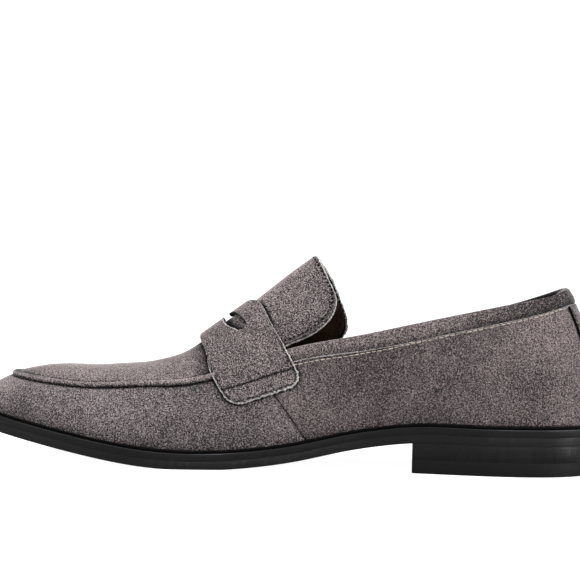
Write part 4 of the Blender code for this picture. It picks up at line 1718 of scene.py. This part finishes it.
    def build(self, finishes: Finishes) -> None:
        """Builds the strap in two halves that share an edge beyond the slot.

        Args:
            finishes: the shoe's materials.
        """
        reaches = self.reaches()
        into = np.clip((np.abs(reaches) - (1.0 - self.corner)) / self.corner, 0.0, 1.0)
        trim = (self.trim * (1.0 - np.sqrt(1.0 - into**2)))[:, None]
        front, rear = (line[:, None] for line in self.slot_lines(reaches))
        front = np.where(np.abs(reaches)[:, None] >= self.slot_reach, rear, front)
        near = edge_close(self.columns, self.edge_near)[None, :] * 0.5 + 0.5
        mesh = new_mesh()
        for low, high in ((trim, front), (rear, 1.0 - trim)):
            across = low + (high - low) * near
            reach = np.broadcast_to(reaches[:, None], across.shape)
            far = np.abs(reach)
            dip = self.hem_depth * bell(far - self.hem, self.hem_width)
            points = self.place(across, reach, self.face - dip)
            # Painted shade in the hem and along the cut edges and slot, a painted dark line inside the lower
            # edge, and painted light on the end panels and the ridge.
            shade_line = self.shade_line_dark * bell(self.away(points, self.face) - self.shade_line_in, self.shade_line_width)
            shade = self.hem_dark * dip - self.hem_light * fade(far, self.hem, 1.0) + self.strap_shade
            shade += shade_line * fade(far, *self.shade_line_span)
            shade -= ridge_highlight(points - UP * (self.face - dip)[..., None])
            cut = (across <= trim) | (across >= 1.0 - trim)
            cut |= ((near == 0.0) | (near == 1.0)) & (far < self.slot_reach)
            add_sheet(mesh, points, np.where(cut, self.edge_dark, shade))
        faces = [finishes.instep, finishes.raw_edge]
        piece = make_piece("penny_strap", mesh, faces, ["penny_strap"])
        thicken(piece, self.thickness)
        round_edges(piece, self.edge_round, finish=1)
        self.sew(finishes)
        self.fray(finishes)

    def sew(self, finishes: Finishes) -> None:
        """Sews the hem line at both ends of the strap.

        Args:
            finishes: the shoe's materials.
        """
        mesh = new_mesh()
        across = np.linspace(*self.hem_span, self.path_steps)
        for side in SIDES:
            reach = np.full_like(across, side * self.hem)
            self.hem_thread.lay(mesh, *self.over(across, reach, self.face - self.hem_depth))
        make_piece("strap_stitches", mesh, [finishes.grey_thread])

    def fray(self, finishes: Finishes) -> None:
        """Lays pale fibre tufts along the strap's cut edge and the slot's front edge.

        Args:
            finishes: the shoe's materials.
        """
        mesh = new_mesh()
        for side in SIDES:
            path, out = self.outline(side, self.face - self.edge_tufts_low)
            along = np.linspace(-1.0, 1.0, len(path))
            thin = self.rear_thin * fade(along, *self.rear_thin_span)
            thin += self.front_thin * fade(-along, *self.front_thin_span)
            self.edge_tufts.lay(mesh, path, out, thin)
            reach = side * self.slot_reach * np.linspace(*self.slot_tufts_span, self.slot_steps)
            rim = self.over(self.slot_lines(reach)[0], reach, self.face - self.slot_tufts_low)
            self.slot_tufts.lay(mesh, *rim)
        make_piece("strap_edge", mesh, [finishes.raw_edge])


class TongueEdge(NamedTuple):
    """A place on the tongue's outline: its station, and its climb to the ridge."""

    s: float
    climb: float


@dataclass
class Tongue:
    """Tab behind the apron: a suede sheet with a sewn edge, over a lining set in from it."""

    suede: float = 1.25
    columns: int = 101
    edge_near: tuple[float, ...] = (0.004, 0.010, 0.018, 0.028, 0.04, 0.055, 0.075)
    rows: int = 110
    rows_end: float = 0.97
    tip_rows: int = 6
    tip_start: float = 0.975
    facing_end: float = 0.94
    lining: float = 0.75
    lining_in: float = 1.6
    lining_gap: float = 0.1
    lining_end: float = 0.96
    lining_rows: int = 61
    inset: float = 4.2
    edge: float = 0.03
    foot: float = 173.9
    ridge_foot: float = 181.5
    climb_length: float = 45.0
    # Painted shade in the stitch and edge dips and towards the free edge, and painted shadow in the strap's
    # slot.
    dip_span: Span = (0.95, 1.0)
    dip_dark: float = 1.2
    edge_dip: float = 0.25
    edge_dip_width: float = 0.5
    edge_shade: float = 0.2
    edge_shade_width: float = 7.0
    slot_dark: float = 1.8
    slot_dark_span: Span = (-3.4, -1.0)
    slot_shade: float = 0.3
    slot_shade_span: Span = (-9.0, -6.5)
    stitch_in: float = 2.1
    stitch_dip: float = 0.2
    stitch_dip_width: float = 0.4
    stitch_span: Span = (0.3, 0.96)
    stitch_steps: int = 160
    thread: Stitches = Stitches(2.2, 1.2, 0.52)
    tufts: tuple[Stitches, ...] = (Stitches(0.6, 1.3, 0.22, ragged=0.7), Stitches(0.6, 1.3, 0.4, ragged=0.7))
    tuft_low: float = 0.5
    tuft_span: Span = (0.25, 0.99)
    tuft_steps: int = 200
    inner: tuple[TongueEdge, ...] = tuple(TongueEdge(*row) for row in (
        (160.0, 0.04), (147.0, 0.075), (140.0, 0.092), (133.5, 0.118), (128.5, 0.163), (125.0, 0.215),
        (123.3, 0.275), (123.0, 0.32), (124.1, 0.385), (126.75, 0.48), (131.25, 0.665), (135.4, 0.92),
        (136.3, 1.0)))
    outer: tuple[TongueEdge, ...] = tuple(TongueEdge(*row) for row in (
        (160.0, 0.03), (140.0, 0.03), (129.0, 0.036), (125.6, 0.062), (123.8, 0.105), (123.0, 0.175),
        (123.75, 0.25), (125.5, 0.325), (127.25, 0.415), (129.75, 0.54), (133.5, 0.73), (136.3, 1.0)))

    def __post_init__(self) -> None:
        """Fairs the outline's two sides by their length."""
        self.sides = [self.side(self.inner), self.side(self.outer)]

    def side(self, marks: Sequence[TongueEdge]) -> Fair:
        """One side of the outline.

        Args:
            marks: places along it after its foot.

        Returns:
            A curve from its foot to its tip, 0 to 1 by length.
        """
        points = np.array([TongueEdge(self.foot, self.edge), *marks])
        steps = np.linalg.norm(np.diff(points * (1.0, self.climb_length), axis=0), axis=1)
        return Fair(points, np.append(0.0, np.cumsum(steps)) / steps.sum())

    def spot(self, along: Array, across: Array) -> Array:
        """Places that are ruled from the ridge to the outline.

        Args:
            along: 0 at the tongue's foot under the strap, 1 at its tip.
            across: -1 at its inner edge, 0 at the ridge, 1 at its outer edge.

        Returns:
            Stations and climbs.
        """
        tip = self.inner[-1].s
        ridge = np.stack([self.ridge_foot + (tip - self.ridge_foot) * along, np.ones_like(along)], -1)
        edge = np.where((across < 0)[..., None], *(side(along) for side in self.sides))
        return ridge + (edge - ridge) * np.abs(across)[..., None]

    def place(self, along: Array, across: Array) -> Array:
        """Outer face of the tongue.

        Args:
            along: 0 at its foot under the strap, 1 at its tip.
            across: -1 at its inner edge, 0 at the ridge, 1 at its outer edge.

        Returns:
            Points of the surface.
        """
        station, climb = np.moveaxis(self.spot(along, across), -1, 0)
        turn = LAST.turn_at(station)
        turn = np.where(across < 0, turn, TURNS - turn)
        inward = -LAST.outward(turn)
        return LAST.crown(turn, climb) + inward * (self.inset * (1.0 - climb) ** 3)[..., None]

    def facing(self, along: Array, across: Array, step: float = 0.012) -> Array:
        """The way out of the shoe.

        Args:
            along: 0 at the tongue's foot under the strap, 1 at its tip.
            across: -1 at its inner edge, 0 at the ridge, 1 at its outer edge.
            step: how far to each side the slope is taken.

        Returns:
            Unit normals.
        """
        along = np.clip(along, step, self.facing_end)
        run = self.place(along + step, across) - self.place(along - step, across)
        side = self.place(along, across + step) - self.place(along, across - step)
        return unit(np.cross(run, side))

    def share_in(self, along: Array, across: Array, distance: float) -> Array:
        """How far out, from 0 to 1, a place lies that is set in from the edge.

        Args:
            along: 0 at the tongue's foot under the strap, 1 at its tip.
            across: -1 for the inner edge, 1 for the outer one.
            distance: from the edge.

        Returns:
            One number a place.
        """
        spread = np.linalg.norm(self.place(along, across) - self.place(along, 0.0 * across), axis=-1)
        return np.clip(1.0 - distance / np.maximum(spread, distance), 0.0, 1.0)

    def build(self, finishes: Finishes, strap: PennyStrap) -> None:
        """Builds the suede sheet, the lining behind it and the stitches inside the edge.

        Args:
            finishes: the shoe's materials.
            strap: which shades the tongue under it and in its slot.
        """
        tip = np.linspace(self.tip_start, 1.0, self.tip_rows)
        alongs = np.concatenate([np.linspace(0.0, self.rows_end, self.rows), tip])
        across, along = np.meshgrid(edge_close(self.columns, self.edge_near), alongs)
        points, out = self.place(along, across), self.facing(along, across)
        away = np.linalg.norm(points - self.place(along, np.sign(across)), axis=-1)
        away = np.where(across == 0.0, np.inf, away)
        dip = self.stitch_dip * bell(away - self.stitch_in, self.stitch_dip_width)
        dip += self.edge_dip * bell(away, self.edge_dip_width)
        dip *= 1.0 - fade(along, *self.dip_span)
        station, climb = np.moveaxis(self.spot(along, across), -1, 0)
        # Painted shade at the dips and towards the edge, the strap's painted shadow, painted highlight along
        # the ridge, and painted shadow in the slot, darkest by its front edge.
        shade = self.edge_shade * np.exp(-away / self.edge_shade_width) + self.dip_dark * dip
        shade += strap.shadow(points) - ridge_highlight(points)
        ahead = station - strap.slot_station(climb)
        shade += self.slot_dark * fade(ahead, *self.slot_dark_span)
        shade += self.slot_shade * fade(ahead, *self.slot_shade_span)
        mesh = sheet_mesh(points - out * dip[..., None], shade, flip=True)
        # The inner face is flat black, a painted shadow line between the pale edge and the lining.
        faces = [finishes.instep, finishes.raw_edge, finishes.seam_black]
        piece = make_piece("tongue", mesh, faces, ["tongue"])
        thicken(piece, self.suede, inside=2, rim=1)
        self.line(finishes)
        self.sew(finishes)
        self.fray(finishes)

    def line(self, finishes: Finishes) -> None:
        """Lines the tongue with a sheet whose edge stays inside the suede's.

        Args:
            finishes: the shoe's materials.
        """
        acrosses = np.linspace(-1.0, 1.0, self.lining_rows)
        across, along = np.meshgrid(acrosses, np.linspace(0.0, self.lining_end, self.lining_rows))
        across = across * self.share_in(along, np.where(across < 0, -1.0, 1.0), self.lining_in)
        low = self.facing(along, across) * (self.suede + self.lining_gap)
        mesh = sheet_mesh(self.place(along, across) - low, flip=True)
        piece = make_piece("tongue_lining", mesh, [finishes.lining, finishes.lining_edge])
        thicken(piece, self.lining, rim=1)

    def sew(self, finishes: Finishes) -> None:
        """Sews round the free edge.

        Args:
            finishes: the shoe's materials.
        """
        mesh = new_mesh()
        along = np.linspace(*self.stitch_span, self.stitch_steps)
        for end in SIDES:
            across = end * self.share_in(along, np.full_like(along, end), self.stitch_in)
            out = self.facing(along, across)
            self.thread.lay(mesh, self.place(along, across) - out * self.stitch_dip, out)
        make_piece("tongue_stitches", mesh, [finishes.grey_thread])

    def fray(self, finishes: Finishes) -> None:
        """Lays pale fibre tufts in two rows along the free edge.

        Args:
            finishes: the shoe's materials.
        """
        mesh = new_mesh()
        along = np.linspace(*self.tuft_span, self.tuft_steps)
        for end, tufts in zip(SIDES, self.tufts):
            across = np.full_like(along, end)
            out = self.facing(along, across)
            for depth in (self.tuft_low, self.suede):
                tufts.lay(mesh, self.place(along, across) - out * depth, out)
        make_piece("tongue_edge", mesh, [finishes.raw_edge])


@dataclass
class Collar:
    """Folded binding over the collar, with a pale cut edge and a pale row of stitches.

    Each row of the outer and inner faces gives a share of the face's height, and how far out it lies. The
    painted shade goes along with the rows of the outer face, the fold and the inner face.
    """

    columns: int = 361
    front_height: float = 5.3
    back_height: float = 7.0
    height_span: Span = (-6.8, -5.0)
    lining_depth: float = 5.5
    outer: tuple[Span, ...] = (
        (1.0, 0.15), (1.0, 0.75), (0.97, 1.05), (0.88, 1.45), (0.74, 1.75), (0.55, 1.9), (0.36, 1.85),
        (0.18, 1.65))
    inner: tuple[Span, ...] = ((0.25, -3.4), (0.6, -3.3), (0.95, -3.1), (1.0, -2.8), (1.0, -2.1))
    outer_shade: tuple[float, ...] = (0.9, 0.6, 0.35, 0.2, 0.1, 0.0, 0.0, 0.0)
    fold_shade: tuple[float, ...] = (0.0, 0.0, 0.0, 0.0, 0.2, 0.6, 0.9, 1.1, 1.2)
    fold_ends: Span = (0.12 * math.pi, 0.88 * math.pi)
    fold_middle: float = -1.0
    fold_half: float = 2.55
    fold_height: float = 1.75
    flat: float = 0.8
    flat_turn: float = 1.7
    flat_span: float = 1.1
    start: float = 0.2
    lean: float = 0.16
    lean_steps: float = 0.13
    slope_step: float = 0.02
    back_dark: float = 0.45
    front_light: float = 0.05
    dark_span: Span = (-5.0, -1.5)
    sew_reach: float = 1.012
    sew_rise: float = 0.85
    sew_span: Span = (-6.6, -4.6)
    thread: Stitches = Stitches(2.7, 2.4, 0.32, ragged=0.45)
    thread_drop_front: float = 1.5
    thread_drop_back: float = 0.5
    thread_out: float = 0.12
    tufts: Stitches = Stitches(0.6, 1.4, 0.28, ragged=0.6)
    tufts_thin: float = 0.16
    tufts_up: float = 0.05
    tufts_out: float = 0.95

    def height(self, turn: Array) -> Array:
        """Height of the binding's outer face: lower beside the strap."""
        back = fade(-np.abs(turn), *self.height_span)
        return self.front_height + (self.back_height - self.front_height) * back

    def places(self, turns: Array, depth: Array, height: Array, lift: Array) -> Array:
        """Points round the collar.

        Args:
            turns: places on the loop.
            depth: how far down the wall from its top edge.
            height: how far out from the wall.
            lift: how far above its top edge.

        Returns:
            One point a turn.
        """
        ahead = np.clip((np.abs(turns) / np.abs(turns).max() - 1.0) / self.lean_steps + 1.0, 0.0, 1.0)
        turns = turns - np.sign(turns) * self.lean * ahead * depth / self.back_height
        rise = LAST.along(LAST.wall, turns, DOWN_WALL, depth)
        edge_way = unit(LAST.wall(turns, rise) - LAST.wall(turns, rise - self.slope_step))
        out = LAST.facing(LAST.wall, turns, rise)
        return LAST.wall(turns, rise) + out * height[..., None] + edge_way * lift[..., None]

    def section(self, turns: Array) -> list[tuple[Array, Array, Array]]:
        """The binding's closed section: up its outer face, over the fold and down its inner face.

        Args:
            turns: places on the loop.

        Returns:
            Rows of depths, heights and lifts.
        """
        tall = self.height(turns)
        ones = np.ones_like(turns)
        rows = [(share * tall, height * ones, 0.0 * ones) for share, height in self.outer]
        fold = 1.0 - self.flat * bell(turns - self.flat_turn, self.flat_span)
        for angle in np.linspace(*self.fold_ends, len(self.fold_shade)):
            out = self.fold_middle + self.fold_half * math.cos(angle)
            rows.append((0.0 * ones, out * ones, self.fold_height * math.sin(angle) * fold))
        deep = self.lining_depth * ones
        rows += [(share * deep, height * ones, 0.0 * ones) for share, height in self.inner]
        return [*rows, rows[0]]

    def build(self, finishes: Finishes) -> None:
        """Builds the binding and its stitches.

        Args:
            finishes: the shoe's materials.
        """
        limit = float(LAST.turn_at(SEAM_EDGE.rear - self.start))
        turns = np.linspace(limit, -limit, self.columns)
        points = np.array([self.places(turns, *row) for row in self.section(turns)])
        # Painted shade, row by row: darker at the binding's lower edge and over the fold down its inner face.
        # The binding is also darker towards the back and a little lighter at the front.
        inner_shade = self.fold_shade[-1:] * len(self.inner)
        nap = np.array([*self.outer_shade, *self.fold_shade, *inner_shade, self.outer_shade[0]])
        back = fade(-np.abs(turns), *self.dark_span)
        dark = (self.back_dark + self.front_light) * back - self.front_light
        mesh = sheet_mesh(points, nap[:, None] + dark)
        close_ends(mesh)
        make_piece("collar_binding", mesh, [finishes.binding], ["collar_binding"])
        self.sew(turns * self.sew_reach, finishes)

    def sew(self, turns: Array, finishes: Finishes) -> None:
        """Sews the row of pale stitches under the binding, and frays the edge above it.

        Args:
            turns: places on the loop.
            finishes: the shoe's materials.
        """
        tall = self.height(turns)
        back = fade(-np.abs(turns), *self.sew_span)
        drop = self.thread_drop_front + (self.thread_drop_back - self.thread_drop_front) * back
        zero = np.zeros_like(turns)
        out = LAST.facing(LAST.wall, turns, np.full_like(turns, self.sew_rise))
        mesh = new_mesh()
        self.thread.lay(mesh, self.places(turns, tall + drop, zero + self.thread_out, zero), out)
        make_piece("collar_stitches", mesh, [finishes.pale_thread])
        mesh = new_mesh()
        path = self.places(turns, tall - self.tufts_up, zero + self.tufts_out, zero)
        self.tufts.lay(mesh, path, out, self.tufts_thin * back)
        make_piece("binding_edge", mesh, [finishes.raw_edge])


@dataclass
class BackStrip:
    """Overlay down the back of the heel, from the binding to the sole."""

    thickness: float = 1.1
    columns: int = 41
    edge_near: tuple[float, ...] = (0.02, 0.05, 0.09)
    rows: int = 61
    top_half: float = 1.0
    foot_half: float = 0.62
    below_binding: float = 7.5
    foot: float = 0.02
    # Painted shadow: a dark line along both edges, where the strip stands proud of the quarter, and darker at
    # its foot by the sole.
    edge_dark: float = 1.8
    edge_from: float = 0.93
    foot_dark: float = 1.5
    foot_fade: float = 0.032
    edge_round: float = 0.35
    thread: Stitches = Stitches(2.6, 1.9, 0.22)
    stitch_in: float = 0.12
    stitch_span: Span = (0.03, 0.98)
    stitch_steps: int = 60

    def place(self, across: Array, share: Array) -> tuple[Array, Array]:
        """Outer face of the strip.

        Args:
            across: -1 to 1 from edge to edge.
            share: 0 at the sole, 1 at the binding.

        Returns:
            Points, and the way out of the leather there.
        """
        head = float(LAST.along(LAST.wall, np.array([0.0]), DOWN_WALL, self.below_binding)[0])
        rise = self.foot + (head - self.foot) * share
        turn = across * (self.foot_half + (self.top_half - self.foot_half) * share)
        out = LAST.facing(LAST.wall, turn, rise)
        return LAST.wall(turn, rise) + out * (LAST.gap + self.thickness), out

    def build(self, finishes: Finishes) -> None:
        """Builds the strip and a row of stitches inside each edge.

        Args:
            finishes: the shoe's materials.
        """
        acrosses = edge_close(self.columns, self.edge_near)
        across, share = np.meshgrid(acrosses, np.linspace(0.0, 1.0, self.rows))
        # Painted shadow along the edges and at the foot.
        shade = self.edge_dark * fade(np.abs(across), self.edge_from, 1.0)
        shade += self.foot_dark * np.exp(-share / self.foot_fade)
        mesh = sheet_mesh(self.place(across, share)[0], shade, flip=True)
        faces = [finishes.quarters, finishes.raw_edge]
        piece = make_piece("back_strip", mesh, faces, ["back_strip"])
        thicken(piece, self.thickness)
        round_edges(piece, self.edge_round)
        mesh = new_mesh()
        line = np.linspace(*self.stitch_span, self.stitch_steps)
        for side in SIDES:
            edge = np.full_like(line, side * (1.0 - self.stitch_in))
            self.thread.lay(mesh, *self.place(edge, line))
        make_piece("back_strip_stitches", mesh, [finishes.grey_thread])


@dataclass
class Sock:
    """Insole with its leather sock, cupped all along its middle; each cup row is an inset and its share."""

    thickness: float = 3.0
    wall: float = 2.0
    clear: float = 0.8
    round: float = 0.7
    cup: float = 0.9
    cup_rows: tuple[Span, ...] = ((9.0, 1.0), (5.0, 0.6), (2.0, 0.0))
    columns: int = 300
    lean_rise: float = 0.6
    lean_steps: int = 13

    def outline(self, turn: Array, inset: float) -> Array:
        """Plan that clears the upper's inner face.

        Args:
            turn: places on the loop.
            inset: how far the edge is drawn in.

        Returns:
            Points of the plan.
        """
        plan = LAST.edge(turn)
        out = LAST.outward(turn)[..., :2]
        reach = LAST.gap + self.wall + LAST.gap + self.thickness + self.wall
        lean = np.zeros(np.shape(turn))
        for rise in np.linspace(0.0, self.lean_rise, self.lean_steps):
            point = LAST.wall(turn, np.full(np.shape(turn), rise))
            low = point[..., 2] - LAST.sole_top(plan[..., 0]) < reach
            lean = np.maximum(lean, np.where(low, ((plan - point[..., :2]) * out).sum(-1), 0.0))
        return plan - out * (lean + self.wall + self.clear + inset)[..., None]

    def build(self, finishes: Finishes, sole: Sole) -> None:
        """Builds the insole.

        Args:
            finishes: the shoe's materials.
            sole: whose way of closing a layer it shares.
        """
        turns = loop(TURNS, self.columns)
        bottom = raised(LAST.sole_top, LAST.gap + self.wall + LAST.gap)
        top = raised(bottom, self.thickness)
        cupped = [(inset, raised(top, -share * self.cup)) for inset, share in self.cup_rows]
        levels = (*cupped, *sole.corner(top, self.round, -1), (0.0, bottom))
        mesh = sole.layer(levels, self.outline, sole.spine(turns), turns)
        make_piece("insole", mesh, [finishes.sock], ["insole"])


class Softbox(NamedTuple):
    """A square light that faces the shoe; place and side in metres, power in watts."""

    name: str
    at: Colour
    side: float
    power: float


@dataclass
class Studio:
    """Pale floor, soft light and the camera, which sees the inner side a little from behind."""

    distance: float = 1450.0
    azimuth: float = 8.0
    eye_height: float = 160.4
    aim: Colour = (2.1, 0.0, 83.4)
    roll: float = 1.1
    focal_px: float = 3000.0
    image_px: float = 580.0
    sensor: float = 36.0
    floor_half: float = 20.0
    floor_grey: Colour = (0.35, 0.35, 0.35)
    floor_glow: float = 0.98
    floor_spill: float = 0.1
    room: tuple[tuple[float, Colour], ...] = ((0.07, (1.05, 1.05, 1.05)), (0.16, (0.36, 0.36, 0.37)))
    box_aim: Colour = (0.0, 0.0, 0.04)
    boxes: tuple[Softbox, ...] = (
        Softbox("top_box", (-0.2, 0.0, 1.5), 1.3, 25.0),
        Softbox("front_box", (0.5, -1.8, 0.9), 1.0, 12.0),
        Softbox("heel_box", (1.95, -0.5, 0.4), 1.0, 24.0),
        Softbox("toe_box", (-1.6, -0.9, 0.6), 0.8, 5.0),
    )

    def build(self) -> None:
        """Sets up the stage."""
        self.build_floor()
        self.build_world()
        for box in self.boxes:
            self.hang(box)
        self.build_camera()
        bpy.context.scene.view_settings.view_transform = "Standard"

    def build_floor(self) -> None:
        """Lays the floor at the sole's lowest face, lit from below like a light table."""
        mesh = bmesh.new()
        bmesh.ops.create_grid(mesh, x_segments=1, y_segments=1, size=self.floor_half)
        data = bpy.data.meshes.new("floor")
        mesh.to_mesh(data)
        mesh.free()
        brush = Brush("pale_floor")
        brush.set(Base_Color=self.floor_grey, Roughness=1.0, Specular_IOR_Level=0.0,
                  Emission_Color=(1.0, 1.0, 1.0))
        seen = brush.add("LightPath").outputs["Is Camera Ray"]
        brush.join(brush.sum(seen, self.floor_glow - self.floor_spill, self.floor_spill), "Emission Strength")
        data.materials.append(brush.material)
        floor = bpy.data.objects.new("floor", data)
        bpy.context.scene.collection.objects.link(floor)

    def build_world(self) -> None:
        """Lights the room evenly, white at the horizon and softer above it."""
        world = bpy.data.worlds.new("studio")
        world.use_nodes = True
        bpy.context.scene.world = world
        nodes, links = world.node_tree.nodes, world.node_tree.links
        place = nodes.new("ShaderNodeTexCoord")
        split = nodes.new("ShaderNodeSeparateXYZ")
        ramp = nodes.new("ShaderNodeValToRGB")
        for mark, (height, colour) in zip(ramp.color_ramp.elements, self.room):
            mark.position = height
            mark.color = (*colour, 1.0)
        links.new(place.outputs["Generated"], split.inputs["Vector"])
        links.new(split.outputs["Z"], ramp.inputs["Fac"])
        links.new(ramp.outputs["Color"], nodes["Background"].inputs["Color"])

    def hang(self, box: Softbox) -> None:
        """Hangs a softbox.

        Args:
            box: which one.
        """
        lamp = bpy.data.lights.new(box.name, "AREA")
        lamp.shape = "SQUARE"
        lamp.size = box.side
        lamp.energy = box.power
        light = bpy.data.objects.new(box.name, lamp)
        light.location = box.at
        way = Vector(self.box_aim) - Vector(box.at)
        light.rotation_euler = way.to_track_quat("-Z", "Y").to_euler()
        bpy.context.scene.collection.objects.link(light)

    def build_camera(self) -> None:
        """Sets the camera at the photograph's angle, rolled a little."""
        turn = math.radians(self.azimuth)
        eye = Vector((self.aim[0] + self.distance * math.sin(turn), -self.distance * math.cos(turn),
                      self.eye_height))
        back = (eye - Vector(self.aim)).normalized()
        right = Vector(UP).cross(back).normalized()
        up = back.cross(right)
        tilt = math.radians(self.roll)
        rolled = right * math.cos(tilt) + up * math.sin(tilt)
        lens = bpy.data.cameras.new("camera")
        lens.sensor_width = self.sensor
        lens.lens = self.sensor * self.focal_px / self.image_px
        camera = bpy.data.objects.new("camera", lens)
        camera.matrix_world = Matrix.LocRotScale(
            eye * MM, Matrix((rolled, back.cross(rolled), back)).transposed(), None)
        bpy.context.scene.collection.objects.link(camera)
        bpy.context.scene.camera = camera


def main() -> None:
    """Builds the shoe piece by piece, then the stage round it."""
    logging.basicConfig(level=logging.INFO, format="%(message)s")
    finishes = Finishes.made()
    sole = Sole()
    sole.build(finishes)
    Sock().build(finishes, sole)
    strap = PennyStrap()
    Upper().build(finishes, strap)
    Tongue().build(finishes, strap)
    strap.build(finishes)
    Collar().build(finishes)
    BackStrip().build(finishes)
    Studio().build()


if __name__ == "__main__":
    main()
